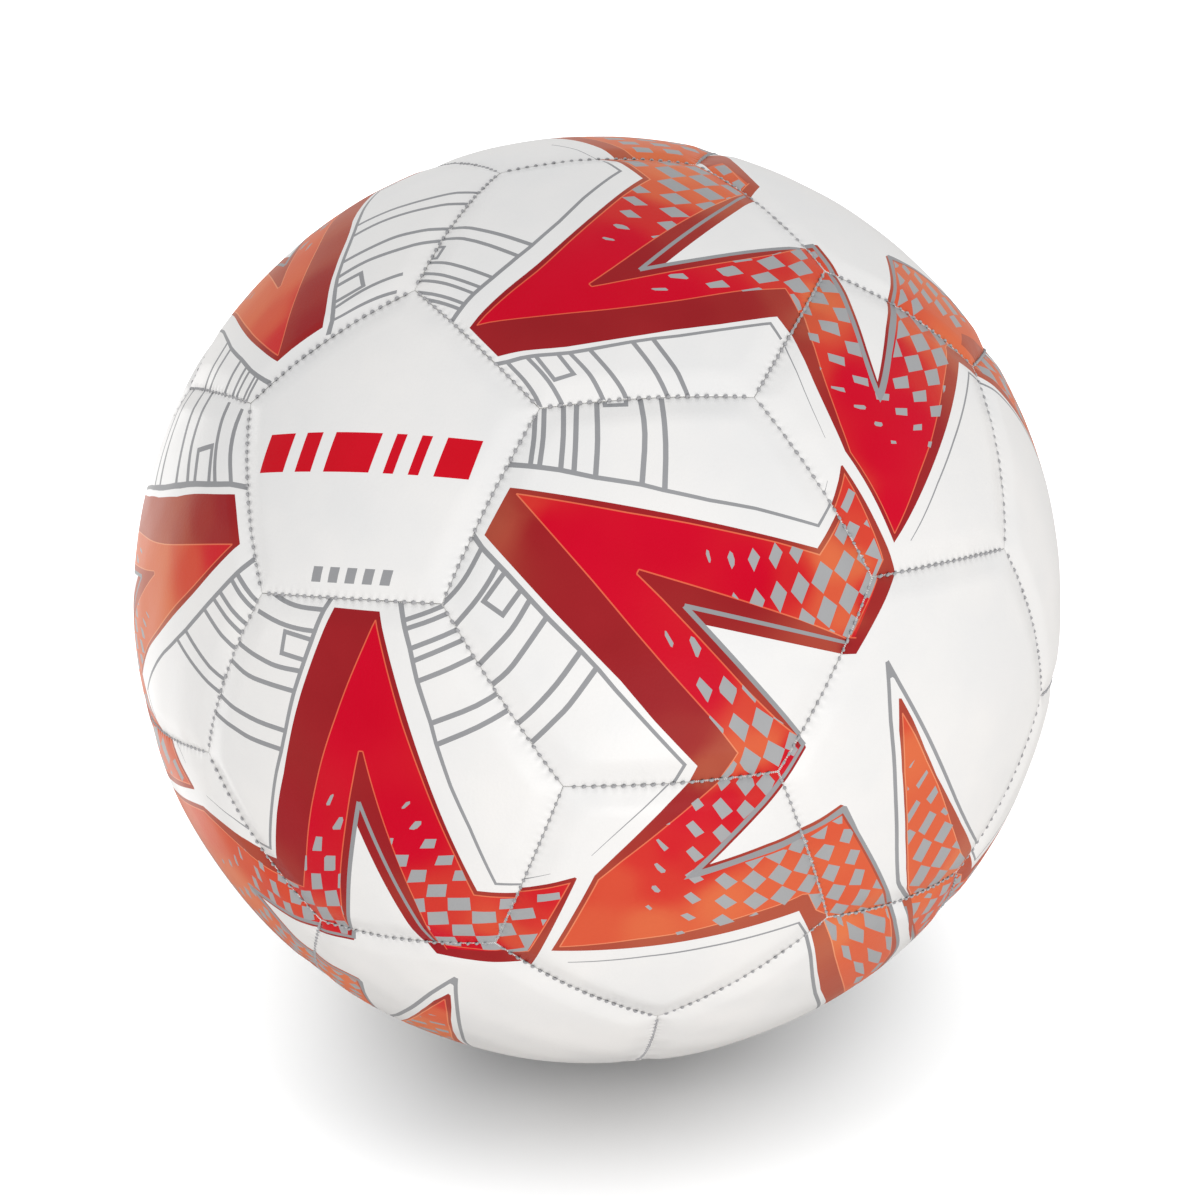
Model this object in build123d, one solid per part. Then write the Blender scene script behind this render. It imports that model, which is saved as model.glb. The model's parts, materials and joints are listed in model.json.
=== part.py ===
from build123d import *
import math
import os

# Size 5 soccer ball: a stitched cover of 12 pentagons and 20 hexagons over a rubber bladder.
# Frame: origin at the ball's centre, +Z up, millimetres. The crest panel (a plain pentagon)
# faces up and towards -X and -Y; the valve panel is the pentagon opposite it.
# Panels, valve and patches are built about +Z, then moved to their place on the ball.

# ---------------------------------------------------------------- cover
ball_diameter = 220.0        # over the crowns of the panels
skin_thickness = 1.2         # synthetic leather cover sheet
foam_thickness = 2.0         # foam laminated behind the skin
cloth_thickness = 0.6        # two-ply cloth lining
glue_line = 0.15             # between laminated layers
seam_gap = 0.20              # between two neighbouring panels' turned-in edges
flange_depth = 5.4           # how far each panel's edge is turned in, from the crown
edge_round = 2.0             # roll of the panel's edge down into the seam
corner_round = 2.2           # cut-back of each panel's corners
thread_diameter = 0.56
thread_depth = 0.85          # thread centre below the crown, in the seam's valley
thread_end_clearance = 0.9   # thread row stops this far from each corner

# ---------------------------------------------------------------- bladder, valve and patches
bladder_clearance = 0.2      # bladder to the turned-in panel edges
bladder_thickness = 0.9
valve_flange_diameter = 30.0
valve_flange_thickness = 1.0
valve_flange_gap = 0.04      # bladder to flange
valve_stem_diameter = 9.0
valve_stem_rise = 0.6        # stem top above the flange's inner face
valve_neck_diameter = 6.8
valve_neck_start = 0.5       # neck bottom above the flange's inner face, inside the stem
valve_neck_top = 0.6         # top of the neck below the crown
valve_length = 22.0          # neck top to the inner end of the stem
insert_stem_diameter = 4.4
insert_stem_drop = 0.5       # top of the insert's stem below the neck top, inside its head
insert_head_diameter = 5.2
insert_head_height = 1.2
insert_clearance = 0.03      # radial, and under the head
needle_bore_diameter = 2.2   # takes the standard 2.0-2.1 mm inflation needle
needle_bore_length = 10.0
needle_funnel_diameter = 2.9
needle_funnel_depth = 0.35
lip_slit_gap = 0.2           # slit between the rubber lips below the needle bore
lip_contact = 0.5            # length over which the lips are shut, just below the bore
valve_hole_diameter = 7.2    # through skin, foam and cloth
stem_hole_diameter = valve_stem_diameter + 0.2   # through bladder and inner patch
hole_ring_outer_diameter = 22.0
hole_ring_inner_diameter = valve_hole_diameter + 0.4
hole_ring_thickness = 0.3
hole_ring_gap = 0.08         # cloth to ring
inner_patch_diameter = 40.0  # rubber patch round the stem, inside the bladder
inner_patch_thickness = 0.8
balance_patch_diameter = 36.0
balance_patch_thickness = 1.2
patch_gap = 0.04             # bladder to the patches inside it

# ---------------------------------------------------------------- attitude (degrees)
# Crest panel's axis, then the roll of the crest pentagon about it (z-y-z Euler angles).
crest_azimuth = -127.6       # from +X towards +Y
crest_tilt = 46.1            # from +Z
crest_roll = -163.3

# ---------------------------------------------------------------- construction sizes
pyramid_height = 130.0       # clear of the crown
through_low, through_high = 80.0, 125.0   # reach of cutters through every layer
overshoot = 1.0              # cutters run this far past a face

# ---------------------------------------------------------------- derived sizes
r_crown = ball_diameter / 2
r_skin_in = r_crown - skin_thickness
r_foam_out = r_skin_in - glue_line
r_foam_in = r_foam_out - foam_thickness
r_cloth_out = r_foam_in - glue_line
r_cloth_in = r_cloth_out - cloth_thickness
r_flange = r_crown - flange_depth
r_bladder = r_flange - bladder_clearance
r_bladder_in = r_bladder - bladder_thickness
r_patch = r_bladder_in - patch_gap
r_valve_base = r_bladder + valve_flange_gap
r_thread = r_crown - thread_depth

half_gap = seam_gap / 2
lining_inset = half_gap + skin_thickness + glue_line   # foam and cloth, from the seam's middle

z_valve_top = r_crown - valve_neck_top
z_valve_end = z_valve_top - valve_length

# Truncated icosahedron: edge for a circumradius of 1, and the angle from a panel's centre
# to its corner, by number of sides
edge_ratio = 1 / 2.47801866
corner_angle = {n: math.asin(edge_ratio / (2 * math.sin(math.pi / n))) for n in (5, 6)}


# ---------------------------------------------------------------- basic solids
def ball(radius):
    """Sphere about the origin whose poles and seam lie away from +Z."""
    return Solid.make_sphere(radius, Plane(origin=(0, 0, 0), x_dir=(0, 0, -1), z_dir=(1, 0, 0)))


def axial_cylinder(diameter, z_low, z_high):
    return Solid.make_cylinder(diameter / 2, z_high - z_low, Plane(origin=(0, 0, z_low)))


def through_cylinder(diameter):
    return axial_cylinder(diameter, through_low, through_high)


def shell_disc(diameter, r_out, thickness):
    """Disc of a spherical shell about +Z."""
    disc = through_cylinder(diameter) & ball(r_out)
    return (disc - ball(r_out - thickness)).solids()[0]


def bored(body, diameter):
    """Body with a hole along +Z."""
    return (body - through_cylinder(diameter)).solids()[0]


def pyramid(sides, inset):
    """Pyramid of rays through a panel about +Z, a corner towards +X, each side moved in by inset."""
    side_angle = math.atan(math.tan(corner_angle[sides]) * math.cos(math.pi / sides))
    tip_height = inset / math.sin(side_angle)
    reach = (pyramid_height - tip_height) * math.tan(corner_angle[sides])
    turns = [2 * math.pi * k / sides for k in range(sides)]
    base = [Vector(reach * math.cos(t), reach * math.sin(t), pyramid_height) for t in turns]
    tip = Vector(0, 0, tip_height)
    faces = [Face(Wire.make_polygon(base, close=True))]
    for k in range(sides):
        faces.append(Face(Wire.make_polygon([base[k], base[(k + 1) % sides], tip], close=True)))
    return Solid(Shell(faces))


# ---------------------------------------------------------------- panel layers
def skin_panel(sides):
    """Domed cover panel with its edge rolled over and turned in all round."""
    def on_crown(point):
        return abs(point.length - r_crown) < 0.02

    body = pyramid(sides, half_gap) & ball(r_crown)
    body = body - ball(r_flange)
    body = body.solids()[0]
    corner_edges = [
        e for e in body.edges()
        if e.geom_type == GeomType.LINE and abs(e.length - flange_depth) < 0.05
    ]
    body = body.fillet(corner_round, corner_edges)
    rim = [e for e in body.edges() if on_crown(e @ 0.5) and on_crown(e @ 0)]
    body = body.fillet(edge_round, rim)
    hollow = pyramid(sides, half_gap + skin_thickness) & ball(r_skin_in)
    return (body - hollow).solids()[0]


def foam_pad(sides):
    pad = pyramid(sides, lining_inset) & ball(r_foam_out)
    return (pad - ball(r_foam_in)).solids()[0]


def cloth_lining(sides):
    """Cloth sheet behind the foam, its edge turned in alongside the skin's."""
    sheet = pyramid(sides, lining_inset) & ball(r_cloth_out)
    sheet = sheet - ball(r_flange)
    hollow = pyramid(sides, lining_inset + cloth_thickness) & ball(r_cloth_in)
    return (sheet - hollow).solids()[0]


# ---------------------------------------------------------------- vectors, as tuples
def rot_z(v, degrees):
    c, s = math.cos(math.radians(degrees)), math.sin(math.radians(degrees))
    return (v[0] * c - v[1] * s, v[0] * s + v[1] * c, v[2])


def rot_y(v, degrees):
    c, s = math.cos(math.radians(degrees)), math.sin(math.radians(degrees))
    return (v[0] * c + v[2] * s, v[1], -v[0] * s + v[2] * c)


def to_ball_frame(v):
    """Turn a direction from the layout frame, crest towards +Z, to the ball's frame."""
    return rot_z(rot_y(rot_z(v, crest_roll), crest_tilt), crest_azimuth)


def unit(v):
    length = math.sqrt(sum(x * x for x in v))
    return tuple(x / length for x in v)


def add(*vectors):
    return tuple(sum(c) for c in zip(*vectors))


def dot(a, b):
    return sum(x * y for x, y in zip(a, b))


def cross(a, b):
    return (a[1] * b[2] - a[2] * b[1], a[2] * b[0] - a[0] * b[2], a[0] * b[1] - a[1] * b[0])


def polar(z, azimuth):
    """Unit vector at height z."""
    r = math.sqrt(max(0.0, 1 - z * z))
    return (r * math.cos(math.radians(azimuth)), r * math.sin(math.radians(azimuth)), z)


def nearest_cos(points):
    """Cosine limit that only neighbouring points exceed."""
    return max(dot(points[0], p) for p in points[1:]) - 1e-6


def placed(centre, corner):
    """Location that carries +Z to centre and +X towards corner."""
    c, v = to_ball_frame(centre), to_ball_frame(corner)
    x_dir = unit(add(v, tuple(-dot(c, v) * x for x in c)))
    return Location(Plane(origin=(0, 0, 0), x_dir=x_dir, z_dir=c))


# ---------------------------------------------------------------- panel layout
# Pentagon centres are an icosahedron's corners: crest, front ring, rear ring, valve.
# Front is the crest's half of the ball. Rings are numbered clockwise seen from the crest.
ring_z = 1 / math.sqrt(5)
pentagon_centres = {"crest_panel": polar(1, 0)}
for k in range(5):
    pentagon_centres[f"front_pentagon_panel_{k + 1}"] = polar(ring_z, -72 * (k + 1))
for k in range(5):
    pentagon_centres[f"rear_pentagon_panel_{k + 1}"] = polar(-ring_z, -72 * k - 36)
pentagon_centres["valve_panel"] = polar(-1, 0)

centres = list(pentagon_centres.values())
neighbour_cos = nearest_cos(centres)


def neighbours(i, j):
    return i != j and dot(centres[i], centres[j]) > neighbour_cos


# (i, j): the corner of pentagon i that points to pentagon j
corners = {
    (i, j): unit(add(centres[i], centres[i], centres[j]))
    for i in range(12) for j in range(12) if neighbours(i, j)
}


def pentagon_place(i):
    first_neighbour = next(j for a, j in corners if a == i)
    return placed(centres[i], corners[(i, first_neighbour)])


def hexagon_ring(z):
    if z > 0:
        return "crest" if z > 0.7 else "front"
    return "rear" if z > -0.7 else "valve"


def hexagon_layout():
    """Name and place of each hexagon; one lies between every three neighbouring pentagons."""
    rings = {"crest": [], "front": [], "rear": [], "valve": []}
    for i in range(12):
        for j in range(i + 1, 12):
            for k in range(j + 1, 12):
                if neighbours(i, j) and neighbours(j, k) and neighbours(i, k):
                    centre = unit(add(centres[i], centres[j], centres[k]))
                    azimuth = math.degrees(math.atan2(centre[1], centre[0])) % 360
                    found = ((-azimuth) % 360, centre, corners[(i, j)])
                    rings[hexagon_ring(centre[2])].append(found)
    return {
        f"{ring}_hexagon_panel_{n}": placed(centre, corner)
        for ring, found in rings.items()
        for n, (_, centre, corner) in enumerate(sorted(found), 1)
    }


pentagon_places = {name: pentagon_place(i) for i, name in enumerate(pentagon_centres)}
hexagon_places = hexagon_layout()
crest_place = pentagon_places["crest_panel"]
valve_place = pentagon_places["valve_panel"]


def pentagon_set(blank):
    """A copy of blank at every pentagon, by panel name, with a hole in the valve panel's."""
    holed = bored(blank, valve_hole_diameter)
    return {
        name: (holed if name == "valve_panel" else blank).moved(place)
        for name, place in pentagon_places.items()
    }


def hexagon_set(blank):
    return {name: blank.moved(place) for name, place in hexagon_places.items()}


# ---------------------------------------------------------------- seam thread
def thread_row(a, b):
    """Thread along the seam between panel corners a and b."""
    start = to_ball_frame(a)
    normal = unit(cross(start, to_ball_frame(b)))
    span = math.degrees(math.acos(dot(a, b)))
    trim = math.degrees(thread_end_clearance / r_thread)
    plane = Plane(origin=(0, 0, 0), x_dir=start, z_dir=normal)
    row = Solid.make_torus(r_thread, thread_diameter / 2, plane, 0, 360, span - 2 * trim)
    return row.rotate(Axis((0, 0, 0), normal), trim)


def seam_thread():
    """One row in each of the 90 seams."""
    points = list(corners.values())
    seam_cos = nearest_cos(points)
    return [thread_row(a, b) for a in points for b in points if a < b and dot(a, b) > seam_cos]


# ---------------------------------------------------------------- bladder and valve
def bladder():
    return bored(ball(r_bladder) - ball(r_bladder_in), stem_hole_diameter)


def valve_housing():
    """Flange outside the bladder, stem into it, and neck up into the cover's hole."""
    body = shell_disc(
        valve_flange_diameter, r_valve_base + valve_flange_thickness, valve_flange_thickness
    )
    body = body + axial_cylinder(
        valve_stem_diameter, z_valve_end, r_valve_base + valve_stem_rise
    )
    body = body + axial_cylinder(
        valve_neck_diameter, r_valve_base + valve_neck_start, z_valve_top
    )
    z_cut_top = z_valve_top + overshoot
    body = body - axial_cylinder(
        insert_stem_diameter + 2 * insert_clearance, z_valve_end - overshoot, z_cut_top
    )
    body = body - axial_cylinder(
        insert_head_diameter + 2 * insert_clearance,
        z_valve_top - insert_head_height - insert_clearance,
        z_cut_top,
    )
    return body.solids()[0]


def valve_insert():
    """Headed rubber plug with a funnelled needle bore and, below it, slit lips."""
    z_bore_top = z_valve_top - needle_funnel_depth
    z_bore_end = z_bore_top - needle_bore_length
    z_slit_low = z_valve_end - overshoot
    body = axial_cylinder(
        insert_stem_diameter, z_valve_end, z_valve_top - insert_stem_drop
    ) + axial_cylinder(insert_head_diameter, z_valve_top - insert_head_height, z_valve_top)
    body = body - axial_cylinder(needle_bore_diameter, z_bore_end, z_valve_top + overshoot)
    body = body - Solid.make_cone(
        needle_bore_diameter / 2, needle_funnel_diameter / 2, needle_funnel_depth,
        Plane(origin=(0, 0, z_bore_top)),
    )
    slit = Solid.make_box(
        needle_bore_diameter, lip_slit_gap, z_bore_end - lip_contact - z_slit_low,
        Plane(origin=(-needle_bore_diameter / 2, -lip_slit_gap / 2, z_slit_low)),
    )
    return (body - slit).solids()[0]


def valve_hole_ring():
    """Ring behind the cloth, round the valve hole."""
    disc = shell_disc(hole_ring_outer_diameter, r_cloth_in - hole_ring_gap, hole_ring_thickness)
    return bored(disc, hole_ring_inner_diameter)


def valve_inner_patch():
    disc = shell_disc(inner_patch_diameter, r_patch, inner_patch_thickness)
    return bored(disc, stem_hole_diameter)


def balance_patch():
    """Patch inside the bladder, opposite the valve."""
    return shell_disc(balance_patch_diameter, r_patch, balance_patch_thickness)


# ---------------------------------------------------------------- output
os.makedirs("parts", exist_ok=True)


def write(name, *solids):
    shape = solids[0] if len(solids) == 1 else Compound(children=list(solids))
    export_step(shape, f"parts/{name}.step")


# Each skin panel is its own piece; foam and cloth are one piece per panel shape.
for sides, shape_name, panel_set in ((5, "pentagon", pentagon_set), (6, "hexagon", hexagon_set)):
    for name, panel in panel_set(skin_panel(sides)).items():
        write(name, panel)
    write(f"{shape_name}_foam_pads", *panel_set(foam_pad(sides)).values())
    write(f"{shape_name}_cloth_linings", *panel_set(cloth_lining(sides)).values())

write("seam_thread", *seam_thread())
for build in (bladder, valve_housing, valve_insert, valve_hole_ring, valve_inner_patch):
    write(build.__name__, build().moved(valve_place))
write("balance_patch", balance_patch().moved(crest_place))
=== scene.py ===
# Cover, seam thread and studio of a football made of 12 pentagons and 20 hexagons. The ball is
# centred on the origin and rests on the floor; +z is up and the camera looks along +y. In the
# ball's own frame the crest pentagon faces +z; BALL_TURN leans it up, left and to the camera.
# Sizes are in mm and degrees until a mesh is made; meshes, lights and camera are in metres.

import json
import math

import bmesh
import bpy
import numpy as np
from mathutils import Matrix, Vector
from mathutils.geometry import delaunay_2d_cdt

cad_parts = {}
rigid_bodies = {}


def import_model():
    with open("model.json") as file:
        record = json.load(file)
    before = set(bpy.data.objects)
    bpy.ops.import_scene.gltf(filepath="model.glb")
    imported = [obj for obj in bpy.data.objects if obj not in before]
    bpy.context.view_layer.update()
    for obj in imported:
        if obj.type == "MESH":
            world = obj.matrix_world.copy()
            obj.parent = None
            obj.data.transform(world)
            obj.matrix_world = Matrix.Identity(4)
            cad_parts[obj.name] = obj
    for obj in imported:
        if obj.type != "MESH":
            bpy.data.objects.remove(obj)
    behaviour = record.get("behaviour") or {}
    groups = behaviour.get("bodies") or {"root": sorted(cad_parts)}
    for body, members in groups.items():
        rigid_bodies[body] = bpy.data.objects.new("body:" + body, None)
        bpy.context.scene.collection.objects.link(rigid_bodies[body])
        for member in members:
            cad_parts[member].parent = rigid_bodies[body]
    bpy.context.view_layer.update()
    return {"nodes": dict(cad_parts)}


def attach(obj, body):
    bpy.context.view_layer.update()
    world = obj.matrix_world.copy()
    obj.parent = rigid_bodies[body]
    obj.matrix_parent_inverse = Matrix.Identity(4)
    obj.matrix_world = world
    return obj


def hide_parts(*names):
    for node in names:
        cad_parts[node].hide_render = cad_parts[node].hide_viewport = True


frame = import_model()

# ------------------------------------------------------------------ driving sizes
RADIUS = 110.0
SKIN = 1.2                          # thickness of the cover
FLANGE = 5.3                        # depth of the turned-in edge
GAP = 0.05                          # panel rim to seam line
EDGE_CHORD = 1 / 2.47801866         # panel edge over ball radius
HALF_ANGLE = {5: math.asin(EDGE_CHORD / (2 * math.sin(math.pi / 5))), 6: math.asin(EDGE_CHORD)}
# corner and edge distance from the centre of a panel, on its tangent plane
CORNER = {sides: RADIUS * math.tan(angle) for sides, angle in HALF_ANGLE.items()}
INRADIUS = {sides: corner * math.cos(math.pi / sides) for sides, corner in CORNER.items()}
VALVE_HOLE = 3.6                    # radius

AZIMUTH, TILT, ROLL = -127.6, 46.1, -163.3
ROLLED_WIDTH, ROLLED_DEPTH = 1.6, 0.30      # rolled edge
PILLOW_WIDTH, PILLOW_DEPTH = 6.0, 0.62      # pillowed fall towards the seam

EDGE_ARC = RADIUS * 2 * math.asin(EDGE_CHORD / 2)
STITCHED = EDGE_ARC - 2.4           # the seam less its bare ends
STITCHES = int(round(STITCHED / 1.98))
STITCH_STEP = STITCHED / STITCHES


# ------------------------------------------------------------------ placing the panels
def turn_z(degrees):
    c, s = math.cos(math.radians(degrees)), math.sin(math.radians(degrees))
    return np.array([[c, -s, 0], [s, c, 0], [0, 0, 1.0]])


def turn_y(degrees):
    c, s = math.cos(math.radians(degrees)), math.sin(math.radians(degrees))
    return np.array([[c, 0, s], [0, 1.0, 0], [-s, 0, c]])


BALL_TURN = turn_z(AZIMUTH) @ turn_y(TILT) @ turn_z(ROLL)


def unit(v):
    v = np.asarray(v, float)
    return v / np.linalg.norm(v)


def polar(elevation, azimuth):
    e, a = math.radians(elevation), math.radians(azimuth)
    return np.array([math.cos(e) * math.cos(a), math.cos(e) * math.sin(a), math.sin(e)])


def upright(centre):
    """Axes of a panel's tangent plane, as rows: right, up towards the crest, outwards."""
    out = unit(centre)
    up = unit(np.array([0, 0, 1.0]) - out * out[2])
    return np.stack([np.cross(up, out), up, out])


HALF_TURN_AXIS = polar(0, -126.0)   # carries one half of the print on to the other


def half_turn(rows):
    return 2 * np.multiply.outer(rows @ HALF_TURN_AXIS, HALF_TURN_AXIS) - rows


# elevation of the panel centres above the ball's equator
HIGH_HEXAGON, PENTAGON, LOW_HEXAGON = 52.6226, 26.5651, 10.8123

# (CAD node, kind, axes in the ball's frame, seed of its unevenness)
CREST_AXES = np.array([[0, -1.0, 0], [1.0, 0, 0], [0, 0, 1.0]])
panels = [("crest_panel", "crest", CREST_AXES, 0)]
for k in range(5):
    for group, kind, elevation, azimuth in (
        ("crest_hexagon", "high", HIGH_HEXAGON, -36 - 72 * k),
        ("front_pentagon", "pentagon", PENTAGON, -72 * (k + 1)),
        ("front_hexagon", "low", LOW_HEXAGON, -36 - 72 * k),
    ):
        panels.append((f"{group}_panel_{k + 1}", kind, upright(polar(elevation, azimuth)), k + 1))
    for group, kind, elevation, azimuth in (
        ("valve_hexagon", "high", HIGH_HEXAGON, -252 + 72 * k),
        ("rear_pentagon", "pentagon", PENTAGON, -216 + 72 * k),
        ("rear_hexagon", "low", LOW_HEXAGON, -252 + 72 * k),
    ):
        axes = half_turn(upright(polar(elevation, azimuth)))
        panels.append((f"{group}_panel_{k + 1}", kind, axes, 0))
panels.append(("valve_panel", "valve", half_turn(CREST_AXES), 0))
SIDES = {"crest": 5, "valve": 5, "pentagon": 5, "high": 6, "low": 6}

# ------------------------------------------------------------------ drawing the print
# A print is a list of layers (material, outline) on a panel's plane: x right, y up, in mm.
# Later layers cover earlier ones. Outlines are written "x,y x,y ...".
WHITE, RED, DARK, LINE, GREY, RAIL, MARK, BACK = range(8)


def points(*parts):
    """One array of points from texts and arrays laid end to end."""
    return np.vstack([
        [[float(n) for n in entry.split(",")] for entry in part.split()]
        if isinstance(part, str) else part
        for part in parts
    ])


def area(material, *parts):
    return (material, points(*parts))


def strip(line, start_width, end_width=None, material=RAIL):
    """Band along a line, tapering from one width to the other."""
    p = points(line)
    n = len(p)
    half = np.linspace(start_width, start_width if end_width is None else end_width, n) / 2
    along = p[1:] - p[:-1]
    along /= np.linalg.norm(along, axis=1)[:, None]
    normal = np.stack([-along[:, 1], along[:, 0]], 1)
    mitre = np.zeros_like(p)
    mitre[0], mitre[-1] = normal[0], normal[-1]
    for i in range(1, n - 1):
        m = normal[i - 1] + normal[i]
        m /= np.linalg.norm(m)
        mitre[i] = m / max(0.35, m @ normal[i])
    side, other = p + mitre * half[:, None], p - mitre * half[:, None]
    return (material, np.concatenate([side, other[::-1]]))


def edge_line(line, width=0.3):
    return strip(line, width, material=LINE)


def bend(line, steps):
    """Points along a smooth curve through a line's points, so many steps to each stretch."""
    p = points(line)
    p = np.concatenate([[2 * p[0] - p[1]], p, [2 * p[-1] - p[-2]]])
    out = []
    for i in range(1, len(p) - 2):
        a, b, c, d = p[i - 1:i + 3]
        for t in np.arange(steps) / steps:
            out.append(0.5 * (2 * b + (c - a) * t + (2 * a - 5 * b + 4 * c - d) * t * t
                              + (3 * b - a - 3 * c + d) * t ** 3))
    out.append(p[-2])
    return np.array(out)


def rows(text):
    return text.strip().splitlines()


def checks(text):
    """Grey checks, one outline to a row."""
    return [area(GREY, row) for row in rows(text)]


# ---- high hexagons: an arrow pointing up, with a notch in its foot
HIGH_CHECKS = """
-7.5,-3.3 -7.45,-3.65 -8.95,-6.05 -9.8,-6.2 -9.8,-5.8 -8.35,-3.75
-7,-8.65 -6.1,-8.55 -6.1,-9.3 -7.35,-11.6 -9.3,-11.85 -9.35,-11.35
-14.5,-14.2 -12.7,-14.05 -13.95,-17.8 -16.7,-18.2 -16.45,-17.6
-12.9,-18.8 -10.3,-18.45 -11.45,-22.3 -12.15,-22.7 -14.9,-23.2 -13.7,-19.5
-19.4,-20 -18.9,-19.9 -20.3,-24.1 -20.9,-24.5 -21.3,-24.5
-11,-23.4 -10.2,-23.05 -11.8,-27.5 -12.5,-27.6
-19.35,-24.85 -16.3,-24.3 -17.35,-28.95 -21.05,-30
-17,-29.45 -13.15,-28.3 -13.8,-33.3 -18.2,-34.4
-29.7,-30.1 -25.8,-30.2 -26.2,-31.4 -28.5,-31.9 -31,-31.4 -31,-30.1
-25.75,-31.8 -21.9,-30.7 -22.8,-35.8 -27.5,-37 -26.9,-34
-22.5,-36.1 -18.5,-34.9 -18.85,-40.2 -23.2,-41.4
-13.7,-33.2 -13.4,-33.1 -13.75,-35.9 -14,-36.4
-18.7,-40 -14.9,-38.8 -15.1,-43 -18.7,-43
10.8,-3.65 10.8,-4.2 9.35,-5.35 8.7,-5.5 8.75,-5.15 9.9,-3.95
11.4,-8.2 12.8,-8.1 12.65,-8.85 11.65,-9.8 10.7,-10.2 9.65,-10.1 10.3,-9.3
13,-12.3 15.65,-12.2 14.7,-14.45 11.35,-14.6
4.8,-12.5 5.65,-12.45 5.05,-13.9 4.8,-14.1
5.25,-16.5 8.55,-16.3 7.3,-19.3 5.75,-19.45
15.35,-16.3 19,-16.1 18,-18.55 14.05,-18.7
8.35,-20.1 12.05,-19.9 10.95,-23.1 6.5,-23.6
18.55,-20 20.2,-20 20.7,-22.7 17.4,-22.7
11.55,-23.8 16.05,-23.6 14.95,-27.1 10.3,-27.3
7.2,-28.05 9.7,-27.7 9.1,-31.7 7.7,-31.9
15.4,-27.4 20.6,-27.4 20.2,-31.1 14.7,-31.1
27.6,-28.4 33,-29.15 30.8,-32 26.8,-31.5
9.5,-31.8 14.4,-31.4 14,-35.4 8.85,-35.8
20.4,-31.4 25.85,-32.05 25.45,-35.6 19.7,-35.2
14.7,-35.5 19.6,-35.5 19.45,-39.7 13.9,-39.5
25.8,-36.05 29.6,-36.5 29.35,-39.3 25.3,-40.2
8.4,-36 8.9,-36.2 8.9,-37.5 8.65,-37.7
9.05,-40.1 14.15,-40 14.3,-43 9.4,-43
19.45,-39.7 24.8,-40 24.6,-43.6 19.6,-43.5
"""

# short curved lines running out from the rails, one to a row
RUNGS = """
-25.5,42.5 -20.5,40.3 -15.5,39.1 -9.3,38.7
-28.5,37.6 -20.9,35 -15.5,33.9 -10.9,33.5
-44.8,32.9 -33.5,28.9 -24.5,25.7 -20,24.6 -14.2,24
-47,29.3 -36,24.5 -30,21.9 -24.5,20.7 -15.9,19.3
-52.3,19.8 -41,15.7 -35,13.5 -27.3,11.4 -18.9,10
-53.8,14.2 -42.3,10.7 -35,8.5 -30,7.1 -20.6,5.6
11,37 17,39.4 22,41.9 24,42.9
11.5,35 17.9,37.5 25.6,41.5
12.8,30.5 20.2,33.7 27.3,37.5
13.5,27.7 20.2,30.7 28.9,35
14.4,23.1 22,26.4 31,31.1
17.1,13.8 27.5,18 36,23
18,9.1 27.5,13.2 37.5,18.5
"""


def high_print():
    left = points("4.3,36.9 -5.1,14 -10,2.7 -14,-6.9 -19,-19.8 -23.8,-30")
    right = points("4.3,36.9 10.4,14 13.9,2.2 19.2,-16.5 21.7,-26.7 32.6,-28.9")
    notch_left = points("0.1,6.8 -2.1,0 -4.9,-8 -7.4,-15 -11,-25 -13.95,-35 -15.2,-42 -15.9,-52")
    notch_right = points("1.1,6.8 2.3,0 4.3,-11 5.2,-16 7.4,-29 8.9,-41 10.6,-52")
    return [
        # dark silhouette, then the bright face and its edges
        area(DARK, """-6.5,39.4 5,38.9 22.7,-25.6 32.4,-27.4 44,-24 44,-52 8.2,-52 5,-40.4
            -2.8,-10.2 -13.9,-41.2 -17.5,-52 -44,-52 -44,-26 -33.8,-24 -30.2,-23.5
            -25,-10 -20.6,0 -13.6,20"""),
        area(RED, left, "-31.5,-30.1 -44,-31 -44,-52", notch_left[::-1], notch_right,
             "44,-52 44,-25.5", right[::-1]),
        edge_line(points(left, "-31.5,-30.1")),
        edge_line(points(right, "44,-25.4")),
        edge_line(notch_left),
        edge_line(notch_right),
        edge_line("0.1,6.8 1.1,6.8"),
        *checks(HIGH_CHECKS),
        # white wedge of the notch between its grey lines
        area(WHITE, "-2.8,-10.2 -14.6,-43 5.7,-43"),
        strip("-15,-43 -1.3,-4.6", 1.0, 1.05),
        strip("-1.3,-4.6 8.4,-43", 0.95, 0.75),
        # thin rails either side of the arrow
        strip("""-6.9,43.3 -9.2,38.5 -11.6,31 -14.1,24 -15.9,19 -18.7,10.2 -20.6,5 -22.8,0
            -27,-10.5 -31.1,-20.8 -36.2,-21.1""", 1.25, 0.75),
        strip("""9.2,43.3 10.9,37.1 12.7,30.7 14.3,23.2 17,13.9 17.9,9.4 20.35,0 23.5,-9.5
            27.3,-23.9 34.5,-25.3""", 1.25, 0.6),
        *[strip(bend(row, 3), 1.15) for row in rows(RUNGS)],
        strip("-11.8,31.5 -19.1,33 -19.7,27.9 -13.2,26.6", 1.1),
        strip("32.6,30.1 30.5,28.8 32.5,24.7 35.3,26", 1.0),
    ]


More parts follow.
